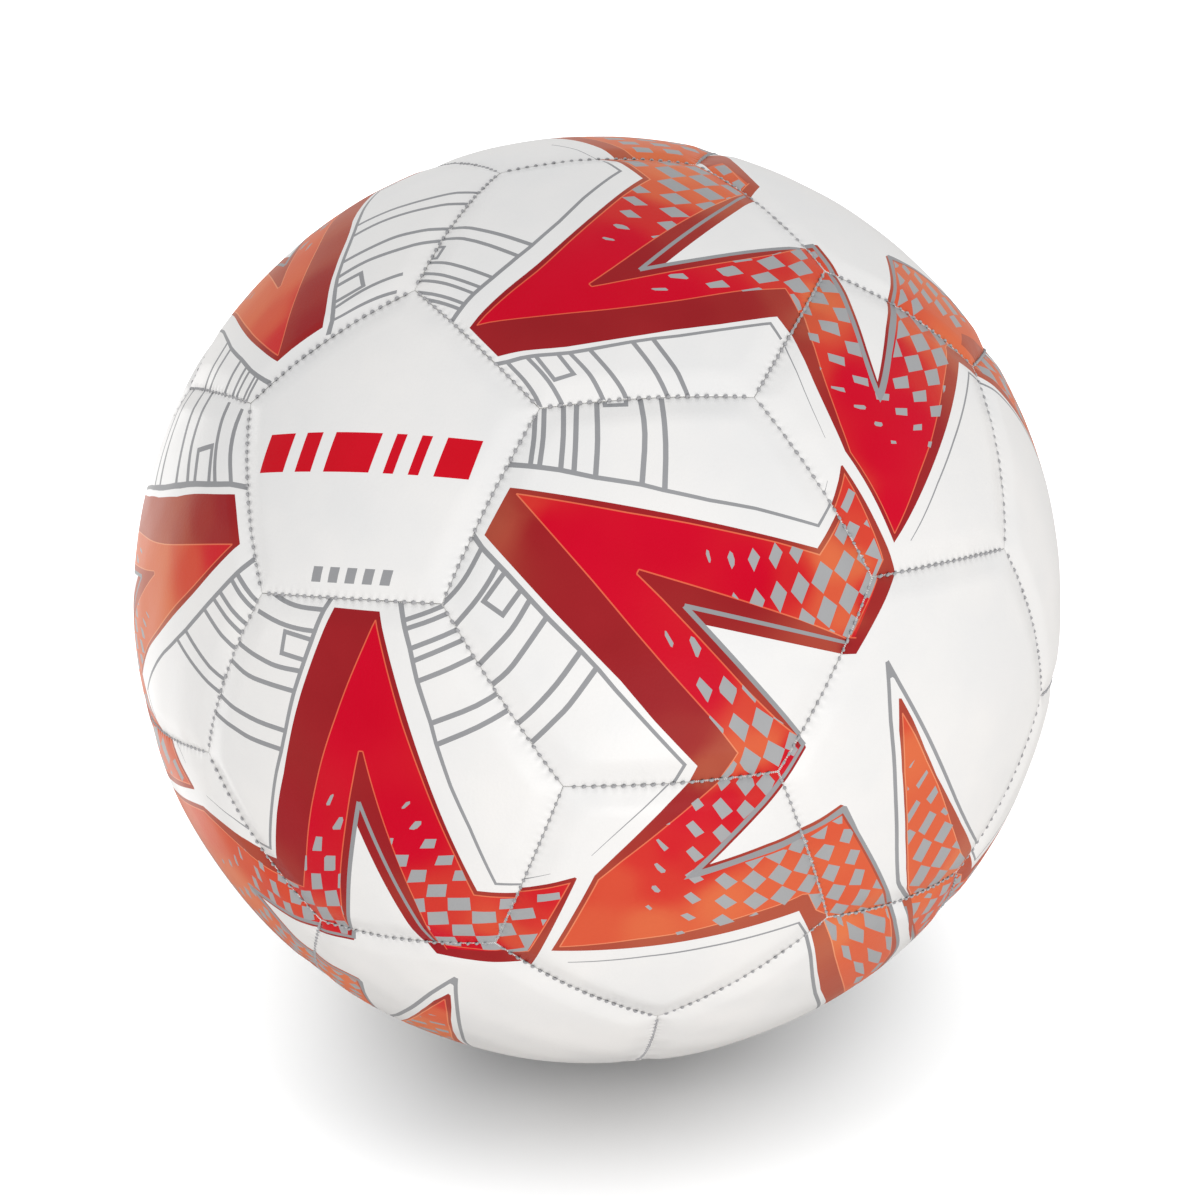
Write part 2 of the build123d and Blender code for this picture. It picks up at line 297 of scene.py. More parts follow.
# ---- pentagons: a figure widening to the right, with a white notch
PENTAGON_CHECKS = """
-2.9,5.2 -2.1,5.2 -2.05,3.8 -2.7,3.7
1.35,8.9 2,8.5 2,6.7 1.35,6.6 0.9,7.2 0.9,8.5
4.8,13.2 5.45,13.1 5.8,10.4 5.35,10 4.7,10.4 4.55,11.7
8.55,17.9 9.1,17.8 9.45,14.55 8.3,14.45 8.3,15.8
4.8,2.3 6.6,2.2 7.05,-1.1 5,-0.8
1.35,-1.7 2.8,-2.1 3.4,-4.6 1.8,-4.3
-2.2,-5.3 -0.9,-5.8 -0.8,-6.9 -2.4,-6.2
8.1,6.7 10.2,6.7 10.45,3 8.4,3.5
11.7,11.5 13.55,11.6 13.8,7.8 11.6,7.95
15.35,16.7 17.2,16.7 17.3,12.7 15.2,12.95
12.3,19.6 13.3,19.5 12.95,19.1
19.3,20.2 21.2,20.2 21.1,18 19,18.1
22.4,16.8 24.9,17 24.9,12.6 21.95,12.6
26.4,20 29.6,19.8 28.6,18.1 25.9,18
29.45,17.2 32.6,17.7 32.9,15.3 32.2,13.9 29.1,13.45
18.6,11.5 21.2,11.8 21.4,8.45 18.5,8.1
25.6,12.2 28.5,12.9 28.8,9.6 25.5,9.3
32.6,13.9 36.2,14.4 36.2,11.3 33.6,10 32.5,10
12.05,1.2 14.6,1.4 15.35,-2.8 12.4,-2.7
8.9,-3.4 11.4,-3.4 12.1,-7.5 9.3,-7.2
5.5,-7.8 8.1,-7.9 8.7,-11.9 5.8,-10.6
19.3,0.2 22.7,-1.5 23.4,-1.8 19.6,-2.5
16.1,-3.4 19.5,-2.9 20.2,-7.2 16.8,-7.7
13.1,-8.5 16.5,-8.1 17.4,-12.5 13.7,-12.5
23.3,-1.9 27.3,-3.8 27.9,-4.7 24.5,-6.3
20.7,-7.2 24.3,-6.2 25.4,-10.4 21.8,-11.8
17.8,-12.7 21.6,-11.9 22.9,-16.3 19,-17.3
11.7,-13.1 13.5,-13.4 13.55,-14.4 12.3,-13.8
28.1,-4.8 30.2,-4 33.6,-7 29.5,-8.4
25.7,-10.6 29.8,-9 31.2,-12.7 27.3,-14.7
23.3,-16.1 27.5,-15 28.9,-18.4 24.8,-20
24.5,-20.1 26.4,-23.1 25.6,-25.9 23.2,-26.5 23.8,-23.1
"""

PENTAGON_LEG_CHECKS = """
-28.95,19.7 -23,18.15 -24,15.45 -29.7,17
-20,20.7 -15.35,18.9 -16.2,17.2 -21.2,19
-34,18.1 -30.4,16.3 -31.2,13 -37.4,14.1 -37.4,15.5
-30.8,12.8 -26.4,11.4 -31.8,7.9 -31.9,8.9
-23.3,14.6 -22.1,13.9 -24,12.8
-38.7,9.6 -31.9,8.9 -31.8,7.7 -38.7,8.5
"""


def pentagon_print():
    top = points("-24.6,5.6 -6.6,17 0,18 12.7,19.3 19.1,19.8 30,20")
    low = points("""-24.6,5.6 -9.5,-1.7 -0.9,-6.5 5.4,-9.5 12.7,-13 18.1,-16 23.5,-18.5
        24.5,-19.9 23.1,-26.4 24.2,-32 24,-60""")
    return [
        area(DARK, """-27,5.45 -6.6,18.4 0,20 9.1,22 15.5,23.3 22.7,24.4 32,27 48,30 48,-60
            9,-60 14.9,-42 18.4,-31.7 20.3,-22.1"""),
        area(RED, top, "48,20 48,-60", low[::-1]),
        edge_line(top),
        edge_line(low),
        *checks(PENTAGON_CHECKS),
        # white notch with its dark and grey outlines
        area(RAIL, """7.3,5.9 10.9,6.75 20,8.25 29.1,9.7 42,11.6 42,-7.4 35,-6.2 31.8,-5.2
            25.5,-2.4 20,0.3 10.7,4.1"""),
        area(DARK, """11.6,5.5 20,7.15 29.1,8.55 36.8,9.6 42,10.4 42,-6 36,-4.9 32.5,-3.9
            25.5,-0.45 12.2,5.2"""),
        area(WHITE, """13.6,5.4 20.5,6.6 29.1,7.9 36.8,8.85 42,9.5 42,-5.2 36,-4.1
            32.7,-3.1 25.5,0.4"""),
        # end of the neighbouring hexagon's leg
        area(DARK, "-28,25.2 -24.5,24.2 -10.3,20.4 -10.1,19.9 -35.2,2.4 -48,-2 -48,30"),
        area(RED, "-28,24.3 -23.5,23 -12.1,19.7 -31.9,7.5 -37.6,8.7 -48,10 -48,28"),
        edge_line("-28,24.3 -23.5,23 -12.1,19.7 -31.9,7.5 -39,8.8", 0.28),
        *checks(PENTAGON_LEG_CHECKS),
        # thin outlines
        strip(bend("-4.3,22.9 1.8,24.2 9.1,25.5 18,26.7 23,27.2", 3), 0.12, 0.4),
        strip("-24,26.2 -20.5,25.3 -14.2,23.9", 0.35, 0.1),
        strip("-26.1,0.4 -20.9,-2.4 -10.9,-7.6 0,-14 18.3,-25.6 17.1,-34 13.1,-42", 0.25, 0.75),
    ]


# ---- the pentagon where two figures run together without a gap
DIAMOND_CENTRES = """-24.5,14.5 -18.5,10.2 -12.5,6 -6.8,1.8 -30,9.5 -24.2,5.2 -18.2,1
    -12.3,-3.2 -6.5,-7.4 -29.8,0.2 -24,-4 -18,-8.2 -12.2,-12.4 -29.5,-9 -23.6,-13.2 -17.8,-17.4"""


def joined_pentagon_print():
    face_edge = points("-27,21.5 -14.5,13.5 -6,8 0,2 4,-8")
    layers = [
        area(DARK, """-30,27 -25,25.5 -20.2,22.4 -8,14.7 0.9,9.1 6.4,3.6 12,-6 -22,-30
            -36,-10 -39.7,1.3 -48,8 -48,30"""),
        area(RED, face_edge, "-24,-30 -34,-8 -37,3 -42,11 -48,14"),
        edge_line(face_edge, 0.28),
    ]
    for x, y in points(DIAMOND_CENTRES):
        diamond = [(x - 3.0, y + 0.1), (x + 0.1, y + 2.7), (x + 3.1, y - 0.2), (x - 0.1, y - 2.6)]
        layers.append(area(GREY, diamond))
    layers.append(strip("-20,27 -12,23.7 -3.5,20", 0.15, 0.35))
    return layers


# ---- low hexagons: ends of the arrow's legs, a limb down the left side, mostly a spike too
LIMB_CHECKS = """
-38.3,27 -34.2,24.6 -34,23.4 -37.6,22.8
-32.9,23.8 -28.5,22 -31.6,20.2 -32.4,21.8
-27.2,21.6 -24.9,20.1 -26.4,18.7 -27,19.6
-36.5,18.9 -32.6,19.2 -31.7,16.4 -35.5,14.6
-30.2,16.1 -27.3,17.3 -26.5,15.6 -26.9,14.2 -29.5,13.1
-42,21.8 -38,21.6 -37.4,18 -41,17
-40,12.4 -36.2,13.9 -35.2,10.7 -39.4,8.6
-34,10.1 -30.5,11.5 -29.6,8.7 -33.2,7.1
-43.9,6.5 -39.8,8.1 -38.6,4.6 -43,2.5
-38.1,4 -33.9,6 -33,3 -36.7,0.5
-47,1 -43.8,2.2 -42.8,-2.2 -46,-4
-42.5,-2.6 -37.6,-0.4 -36.7,-4 -41.6,-6.7
-36,-4 -33.6,-2.9 -35.2,-7.7
-43.2,-7.8 -42,-7.2 -41.5,-11 -43,-10.4
-40.2,-11.4 -36,-9.1 -38.8,-16
"""

SPIKE_CHECKS = """
-8.7,10.3 -7.9,10.3 -6.5,9.8 -8.4,9.7
-13,6.7 -12.2,7.5 -12.5,6.5
-11.1,5.1 -7.1,4.6 -7.4,3.6 -11.4,3.7
-17.4,2.2 -13.7,2.3 -13.8,0.5 -19,0.1
-12.5,-0.7 -9,-1.1 -9.9,-3.3 -12.9,-3.2
-20.6,-1.3 -20,-1.6 -19.9,-4.4 -23.2,-4.8
-19.4,-4.9 -14.3,-4.3 -14.2,-7.4 -19.5,-8.1
-25.6,-9.9 -20.2,-8.6 -20.1,-12.7 -25.3,-14.2
-13.3,-8.4 -12,-8.6 -12.6,-11.6 -13.4,-11.3
-19.5,-13 -14.6,-12.4 -14.4,-16.8 -19.2,-17.4
-31.7,-17.2 -25.9,-15 -25.4,-19.9 -30.9,-22.5
-25.2,-19.6 -19.9,-18 -19.4,-23.4 -24.6,-24.9
-33.3,-24 -31.5,-23.3 -31,-28.8 -32.4,-27.2
-18.9,-23 -17,-23.1 -18.5,-28.6
-30.6,-29 -25,-25.6 -24.5,-31.2 -28.6,-33.6
-24.2,-31.2 -19.2,-30 -20.2,-38.6 -23.2,-39.8
"""


def limb_print():
    limb = points("""-60,42 -36,27 -28.7,22.9 -24.6,20.5 -27.2,13.2 -31.3,2 -35.6,-9.3
        -39.2,-17.3 -46,-33 -60,-60""")
    return [
        # end of the neighbouring hexagon's right leg, along the top edge
        area(DARK, "4.4,44 6.9,38.6 27.8,35.9 36,34 36,46 4,46"),
        area(RED, "8.6,44 10,40.6 24.5,40.4 27,40.4 27,46 8,46"),
        edge_line("8.6,44 10.1,40.2"),
        edge_line("9.6,41.6 24.5,40.5", 0.25),
        area(GREY, "9.4,44 14.2,44 14.2,41.5 10.2,41.6"),
        area(GREY, "19.5,44 26,44 25.5,40.6 19.5,40.9"),
        # end of the left leg
        area(DARK, "-30,39.5 -26.5,39 -16.3,39.1 -16,39.5 -13.5,46 -30,46"),
        area(RAIL, "-30,40.3 -26.5,39.6 -15.5,39.7 -13.5,46 -30,46"),
        area(DARK, "-26,40.6 -16.5,40.5 -14.4,46 -26,46"),
        area(RED, "-25,40.6 -17.3,40.5 -15.9,46 -25,46"),
        area(GREY, "-19.8,44 -19.4,40.6 -17.6,40.6 -16.6,44"),
        # checkered limb from the pentagon at the left
        area(RAIL, """-60,44 -36.5,29 -30,25.3 -23,21.9 -22.6,20.6 -26,13 -30,2 -34.2,-9
            -37.5,-17.7 -44,-33 -60,-60"""),
        area(DARK, """-60,44.6 -36.2,29.6 -30,26 -23,22.4 -22.8,21.5 -30,24.9 -36.5,28.6
            -60,43"""),
        area(RED, limb),
        strip(limb[3:-1], 0.55, material=DARK),
        area(DARK, "-60,-10 -52,2 -48.6,-0.8 -49,-20 -60,-40"),
        *checks(LIMB_CHECKS),
        area(DARK, "-60,-22 -47.5,-24 -43.5,-22 -38.3,-15.8 -37.6,-17.5 -44,-33 -60,-60"),
    ]


def spike_print():
    """Spike rising from the lower left edge."""
    rail_left = points("""8.6,30 4.5,27 -2,22 -9,15.5 -16,8.5 -22,1.8 -27.5,-4.8 -31.9,-11.2
        -33.2,-15.4 -34.2,-19.5 -34.9,-23.5""")
    rail_right = points("""8.6,30 5.6,24 2,16 -2,7 -5.5,-1.5 -9.3,-11.5 -12.3,-22 -14.4,-32
        -16.2,-45""")
    side_left = points("""2.9,22.6 -3,18.4 -9.6,12.1 -16,5.1 -22.2,-2.2 -28.2,-10.1
        -32.8,-17.6 -34.2,-22.8 -38,-32 -44,-44 -47,-52""")
    side_right = points("""3.2,21.9 0.6,16.2 -3.4,8.6 -7,0.4 -10.1,-9 -13.2,-20 -15.8,-31
        -18.2,-42 -20.5,-52""")
    face_left = points("""0.6,19.8 -5.3,14.9 -10.1,10.5 -16.4,3.6 -22.4,-3.4 -28.2,-11.1
        -32.3,-17.8 -33.6,-22.8 -34.5,-25.5 -43.5,-44 -46,-52""")
    face_right = points("""0.6,19.8 -2.1,13.3 -5.5,6 -8.4,-1.3 -11.7,-9 -14.4,-15.5
        -17.2,-23.5 -19,-29.8 -21.3,-41 -23,-52""")
    return [
        area(WHITE, """-34.9,-23.5 -33.4,-15.4 -31.9,-11.2 -27.5,-4.8 -22,1.8 -16,8.5
            -9,15.5 -2,22 8.6,30""", rail_right[1:], "-47,-52 -40,-34"),
        area(DARK, side_left, side_right[::-1]),
        area(RED, face_left, face_right[::-1]),
        edge_line(face_left),
        edge_line(face_right),
        *checks(SPIKE_CHECKS),
        strip(bend(rail_left, 2), 1.0, 1.15),
        strip(bend(rail_right, 2), 1.0, 0.75),
        area(RAIL, "8.6,30 5.3,27.6 6.2,26.9 6.2,25.2"),
    ]


# ---- the low hexagon whose spike keeps a broad dark side
BROAD_SPIKE_CHECKS = """
-23.6,-43 -23.6,-36.8 -20.4,-31.7 -20.2,-33.8
-25.6,-39.6 -26.1,-37.7 -24.4,-34.3 -24.4,-36.6
-25.8,-34.9 -25.9,-26.1 -22.6,-20.1 -22.4,-28.1
-29.9,-32.1 -30.9,-22 -27,-15.4 -26.9,-27
-26.3,-13.3 -26.6,-9.3 -22.3,0 -22.8,-4.4
-19.9,-28.1 -20.5,-24.9 -17.1,-16.1 -17.3,-21.6
-21.8,-15.9 -21.4,-4.5 -17.6,3 -18.2,-7
-17.1,-15 -17.2,-8.6 -13.4,2.6 -14.2,-6.6
-32.9,-24.7 -33.1,-24 -31.1,-19.9 -31.4,-21.6
-12.2,-0.6 -12.9,3.6 -10,8.6 -9.6,4.2
-17.6,3.6 -17.9,6.8 -14.2,10.2 -13.9,6.6
-8.9,9 -9.3,11 -6.7,13.6 -6.6,11.4
"""


def broad_spike_print():
    layers = []
    for material, outline in limb_print():
        x, y = outline.T
        # the lower limb leans to the right on this panel
        lean = 2.2 * np.clip((18 - y) / 22, 0, 1) * (x < -20)
        layers.append((material, np.stack([x + lean, y], 1)))
    dark_right = points("""-24,-52 -18.7,-41.5 -15.2,-33.8 -11,-24.4 -6.3,-11.8 -2,4 2.6,17
        8.6,31""")
    rail_right = points("""-22.4,-52 -16.9,-40.5 -13.5,-33 -9.4,-24 -4.8,-11.8 -0.6,2.5 4.2,16
        9,31""")
    rail_left = points("""-48,-52 -37.9,-31 -34.5,-24.3 -30.3,-14.8 -25.6,-2 -21.6,6.5
        -14.5,14.5 -7,21.5 8.6,31""")
    face_right = points("""-27.5,-52 -23.3,-42.6 -19.7,-33 -16.7,-25.6 -13.2,-15.6 -9.2,-2.6
        -6,8 -1.5,19.5""")
    face_left = points("""-46.5,-52 -36.8,-31 -33.6,-25 -30,-17.2 -25.7,-7.5 -21.2,2.8
        -14.5,11.5 -7,17.5 -1.5,19.5""")
    return layers + [
        strip("-41,-27 -38.3,-19.6 -34.5,-12.4 -30.4,-3.4 -28.3,2 -25.6,11", 2.5, 0.2, DARK),
        area(WHITE, rail_right, rail_left[::-1]),
        area(DARK, dark_right, rail_left[::-1]),
        area(RED, face_right, face_left[::-1]),
        edge_line(face_right),
        edge_line(face_left),
        *checks(BROAD_SPIKE_CHECKS),
        strip(bend(rail_right, 2), 0.9, 0.9),
        strip(bend(rail_left, 2), 1.1, 0.9),
    ]


def crest_print():
    """A row of slanted bars, and five small pips below for the size."""
    slant, bar_gap, pip_pitch = 1.6, 1.8, 4.3
    layers = []
    x = -27.0
    for width in (9.0, 6.0, 13.0, 4.0, 4.0, 9.5):
        bar = [(x, -5.6), (x + width - slant, -5.6), (x + width, 3.0), (x + slant, 3.0)]
        layers.append(area(MARK, bar))
        x += width + bar_gap
    for k in range(5):
        pip = points("-8.4,-29.2 -6,-29.2 -5.2,-25.8 -7.6,-25.8")
        layers.append(area(RAIL, [(x + pip_pitch * k, y) for x, y in pip]))
    return layers


PRINT = {
    "high": high_print(),
    "pentagon": pentagon_print(),
    "low": limb_print() + spike_print(),
    "crest": crest_print(),
    "valve": [],
}
# panels that differ from their kind
OWN_PRINT = {
    "front_hexagon_panel_1": limb_print(),
    "front_pentagon_panel_5": joined_pentagon_print(),
    "rear_hexagon_panel_3": broad_spike_print(),
}

# No two printed panels line up alike. Where marked points of the print land on some of them:
# x,y of the drawing, then x,y on the panel
SHIFT = {
    "crest_hexagon_panel_1": """
        -6.5,39.4,-7.7,40.4 5,38.9,3.2,40.3 0.6,6.85,-5.9,13.6 -1.3,-3.9,-8.3,3.2
        -30.2,-23.5,-32.8,-17.4 22.7,-25.6,18.7,-20 -23.8,-30,-26.9,-24.8 -13.6,20,-17,25.2
        -20.6,0,-25.2,6.5 12.9,10,6.9,16 18,-8.5,12.3,-2.5 27.3,-23.9,24.8,-18.3
        17.1,13.8,11.4,19.7 18,9.1,12.3,15.4 11.5,35,9.4,36.7 12.8,30.5,9.9,33.6
        14.4,23.1,10.6,27.7 -10.9,33.5,-12.2,36 -19.4,30.4,-21.8,32.8 -14.2,24,-18,28
        -18.9,10,-23.3,15.6 -35,13.5,-37.4,17.1 -18.5,-40,-20,-36 9,-36,4.5,-33""",
    "crest_hexagon_panel_3": """
        -0.6,38,3.6,38.5 0.6,6.85,3.2,8.65 22.7,-25.6,24.1,-24.5 -23.8,-30,-23.1,-29.6""",
    "crest_hexagon_panel_4": """
        -6.5,39.4,-1.4,38 5,38.9,10.8,38.2 -13.4,20,-9.2,13 -17.2,10,-14.3,1
        -25,-10,-25,-17.5 0.6,6.85,2,-1.4 12.9,10,15.5,7 15.7,0,16.1,-4 18.4,-10,15.5,-13
        -9.3,38.7,-4.3,36.6 -10.9,33.5,-6.3,31 -19.4,30.4,-17.6,25.8 -14.2,24,-11.9,18.2
        -15.9,19.3,-14.3,12.1 -18.9,10,-20,0 11.2,36,17.2,34.4 12.8,30.5,18.3,28
        14.4,23.1,19.8,21.3 17.1,13.8,20.9,11.1 18,9.1,21.1,6""",
    "crest_hexagon_panel_5": """
        -6.5,39.4,-0.7,37.4 5,38.9,13.4,37.3 -13.4,20,-6.4,19.5 -17.2,10,-9.3,8
        -20.6,0,-10.2,-2.5 -25,-10,-11.5,-11 0.6,6.85,9.8,7.8 10.2,20,19.6,20.7
        15.7,0,25.6,-1 18.4,-10,29,-10 -10.9,33.5,-4.3,34.7 -14.2,24,-6.3,23.2
        -15.9,19.3,-7.8,18.2 -18.9,10,-10.9,7.8 -20.6,5.6,-12,2.2 12.8,30.5,20.9,32.7
        14.4,23.1,23.1,24.9 18,9.1,27.3,10.2""",
    "front_pentagon_panel_1": """
        -27,5.45,-29.6,7.2 -6.6,18.4,-11,19.6 13.6,5.35,6.1,8.3 7.3,5.9,2,8.6
        20.3,-22.1,20.6,-23.1 -10.3,20.4,-14.4,20.7 -35.2,2.4,-36,6 21.5,24.2,18.3,28
        36.8,8.85,35.8,9.6 32.7,-3.1,33,-4.3""",
    "front_pentagon_panel_3": """
        -6.6,18.4,-0.2,20.8 -10.3,20.4,-4.7,23.8 -25,24.3,-18.9,28.2 13.6,5.35,18.7,4.9
        7.3,5.9,13.4,5.8 32.7,-3.1,31,-9.5 36.8,8.85,37.2,8.6 -27,5.45,-24,1
        22.7,24.4,21,25 20.3,-22.1,21.5,-25""",
    "front_hexagon_panel_1": """
        -23,21.9,-16.5,11.5 -36.5,29,-33.5,25.5 -30,2,-17,-4 -37.5,-17.7,-24,-22
        6.9,38.6,8.7,34.7 27.8,35.9,24,27.5 36,34,34,20.5 -26.5,39,-25.8,38.4
        -16.3,39.1,-16,38""",
    "front_hexagon_panel_3": """
        8.6,30,9.6,29.6 2.9,22.6,4.8,22.6 -7,0.4,-4.7,0.2 -10.1,-9,-8.8,-9.5
        -22,1.8,-20.6,0 6.9,38.6,8.2,38.5 27.8,35.9,28.8,34.6 -26.5,39,-26.3,37
        -16.3,39.1,-14.7,38.3 -23,21.9,-21.6,19.3 -36.5,29,-36,21.2 -26,13,-24.5,10.5
        -30,2,-28,1""",
    "rear_hexagon_panel_2": """
        -16.2,-45,-19.6,-44 -14.4,-32,-18.2,-31.3 -12.3,-22,-16.6,-21.6
        -9.3,-11.5,-13,-11.2 -5.5,-1.5,-8,-1.2 8.6,30,7.5,29.5 -34.2,-19.5,-34.6,-19.5
        -27.5,-4.8,-28,-4.8 6.9,38.6,6.9,38.6 27.8,35.9,27.8,35.9 36,34,36,34
        -26.5,39,-26.5,39 -16.3,39.1,-16.3,39.1 -36.5,29,-36.5,29 -23,21.9,-23,21.9
        -30,2,-30,2 -37.5,-17.7,-37.5,-17.7""",
}
PLATE_SMOOTHING = 0.35
PLATE_UNIT = 10.0                   # mm, keeps the plate's equations well scaled
PLATE_REACH = 52                    # mm, points farther out move as those here do


def split(a, b, step):
    n = max(1, int(math.ceil(np.linalg.norm(b - a) / step)))
    return [a + (b - a) * i / n for i in range(n)]


def subdivided(outline, step):
    """A closed outline with points no farther apart than step."""
    out = []
    for i in range(len(outline)):
        out += split(outline[i], outline[(i + 1) % len(outline)], step)
    return np.array(out)


def plate_kernel(a, b, floor):
    squared = ((a[:, None, :] - b[None]) ** 2).sum(2) + floor
    return 0.5 * squared * np.log(squared)


def registration(name):
    """Function that moves points of the print as a smoothed thin plate through the marks."""
    marks = points(SHIFT[name]) / PLATE_UNIT
    n = len(marks)
    drawn = marks[:, :2]
    kernel = plate_kernel(drawn, drawn, np.eye(n)) + PLATE_SMOOTHING * np.eye(n)
    flat = np.concatenate([np.ones((n, 1)), drawn], 1)
    weights = np.linalg.solve(
        np.block([[kernel, flat], [flat.T, np.zeros((3, 3))]]),
        np.concatenate([marks[:, 2:] - drawn, np.zeros((3, 2))]))

    def move(outline):
        q = np.clip(outline, -PLATE_REACH, PLATE_REACH) / PLATE_UNIT
        bent = plate_kernel(q, drawn, 1e-9) @ weights[:-3]
        even = np.concatenate([np.ones((len(q), 1)), q], 1) @ weights[-3:]
        return outline + PLATE_UNIT * (bent + even)

    return move


def print_of(name, kind):
    layers = OWN_PRINT.get(name, PRINT[kind])
    if name not in SHIFT:
        return layers
    move = registration(name)
    return [(material, move(subdivided(outline, 4.0))) for material, outline in layers]


# ------------------------------------------------------------------ panel surface
def corners_of(sides, scale=1.0):
    """Corners on the tangent plane, clockwise seen from outside."""
    first = {5: 90.0, 6: 60.0}[sides]
    angles = [math.radians(first - 360 / sides * k) for k in range(sides)]
    return np.array([[CORNER[sides] * scale * math.cos(a), CORNER[sides] * scale * math.sin(a)]
                     for a in angles])


def lift(plane, radius):
    """Plane points carried along rays from the ball's centre to a radius each."""
    P = np.concatenate([plane, np.full((len(plane), 1), RADIUS)], 1)
    return P / np.linalg.norm(P, axis=1)[:, None] * radius[:, None]


def arc_distances(plane, sides):
    """Distance along the ball from each edge, positive inside, and place along that edge."""
    directions = lift(plane, np.ones(len(plane)))
    corners = corners_of(sides)
    distances, places = [], []
    for i in range(sides):
        start = unit([*corners[i], RADIUS])
        end = unit([*corners[(i + 1) % sides], RADIUS])
        inward = unit(np.cross(end, start))
        distances.append(np.arcsin(np.clip(directions @ inward, -1, 1)) * RADIUS)
        middle, along = unit(start + end), unit(end - start)
        places.append(np.arctan2(directions @ along, directions @ middle) * RADIUS)
    return np.array(distances), np.array(places)


def smooth_step(t):
    return t * t * (3 - 2 * t)


def skin_radius(plane, sides, seed):
    """Radius of the outer skin above plane points."""
    distances, places = arc_distances(plane, sides)
    distances = np.maximum(distances, 0.0)
    # nearest edge, rounded off where two edges meet
    inset = (np.sum(1.0 / np.maximum(distances, 1e-3) ** 5, axis=0)) ** (-1 / 5)
    x = np.clip(1 - inset / ROLLED_WIDTH, 0, 1)
    drop = ROLLED_DEPTH * (1 - np.sqrt(np.maximum(0, 1 - x * x)))
    # each edge falls by its own amount, shared out so that nothing jumps between edges
    first = distances.min(0)
    share = np.exp(-(distances - first) / 1.6)
    own = np.sin(0.9 * seed + 2.1 * np.arange(sides))[:, None]
    uneven = (share * own).sum(0) / share.sum(0)
    fall = 1 - smooth_step(np.clip(inset / PILLOW_WIDTH, 0, 1))
    drop += PILLOW_DEPTH * fall * (1 + 0.20 * uneven)
    s = places[np.argmin(distances, axis=0), np.arange(len(plane))]
    off_corner = smooth_step(np.clip((np.sort(distances, axis=0)[1] - first) / 3.0, 0, 1))
    # each stitch pulls the rolled edge in a little
    pull = np.cos((s / STITCH_STEP) * 2 * math.pi + (math.pi if STITCHES % 2 == 0 else 0))
    drop += 0.10 * (0.5 + 0.5 * pull) * np.exp(-((inset - 0.5) / 0.9) ** 2) * off_corner
    # faint puckers running in from the seam
    phase = seed * 1.7
    fade = np.exp(-(inset / 4.0) ** 2)
    drop += 0.07 * np.sin(s * 0.55 + phase) * fade * np.sin(s * 0.21 + 2 * phase) * off_corner
    # slow unevenness of the padded panel
    x, y = plane[:, 0], plane[:, 1]
    slow = np.sin(x * 0.115 + phase) * np.sin(y * 0.13 - 1.3 * phase)
    fine = 0.3 * np.sin(x * 0.31 + y * 0.23 + phase)
    drop += 0.10 * (slow + fine) * np.clip(inset / 6, 0, 1)
    return RADIUS - drop


def skin_normals(plane, sides, seed):
    """Unit normals of the outer skin, from its slope over a small step."""
    step = 0.02
    here, right, up = [
        lift(plane + shift, skin_radius(plane + shift, sides, seed))
        for shift in ([0, 0], [step, 0], [0, step])
    ]
    n = np.cross(right - here, up - here)
    return n / np.linalg.norm(n, axis=1)[:, None]


def inside(outline, pts):
    """Which points lie within an outline, by crossings of a ray towards +x."""
    low, high = outline.min(0), outline.max(0)
    near = ((pts >= low) & (pts <= high)).all(1)
    x, y = pts[near].T
    odd = np.zeros(len(x), bool)
    for (x0, y0), (x1, y1) in zip(outline, np.roll(outline, -1, axis=0)):
        spans = (y0 > y) != (y1 > y)
        with np.errstate(divide="ignore", invalid="ignore"):
            crossing = (x1 - x0) * (y - y0) / (y1 - y0) + x0
        odd ^= spans & (x < crossing)
    result = np.zeros(len(pts), bool)
    result[near] = odd
    return result


def ring_loop(sides, inset, step):
    return subdivided(corners_of(sides, 1 - inset / INRADIUS[sides]), step)


def circle(radius, count):
    angles = np.linspace(0, 2 * math.pi, count + 1)[:-1]
    return np.array([[radius * math.cos(t), radius * math.sin(t)] for t in angles])


# rings of points inside the rim: (inset, spacing)
RINGS = [(0.30, 0.42), (0.55, 0.46), (0.85, 0.5), (1.2, 0.6), (1.7, 0.75), (2.3, 0.9),
         (3.1, 1.1), (4.2, 1.4), (5.6, 1.7), (7.4, 2.0)]
RIM_STEP = 0.44
GRID = 2.2
GRID_INSET = 8.6
GRID_REACH = 60
BARE_EDGE = 0.13                    # the ink wears off along the sewn edge


def grid_points(sides):
    n = int(GRID_REACH / GRID)
    grid = np.array([(GRID * (i + 0.5 * (j % 2)), GRID * 0.866 * j)
                     for i in range(-n, n + 1) for j in range(-n, n + 1)])
    return grid[inside(corners_of(sides, 1 - GRID_INSET / INRADIUS[sides]), grid)]


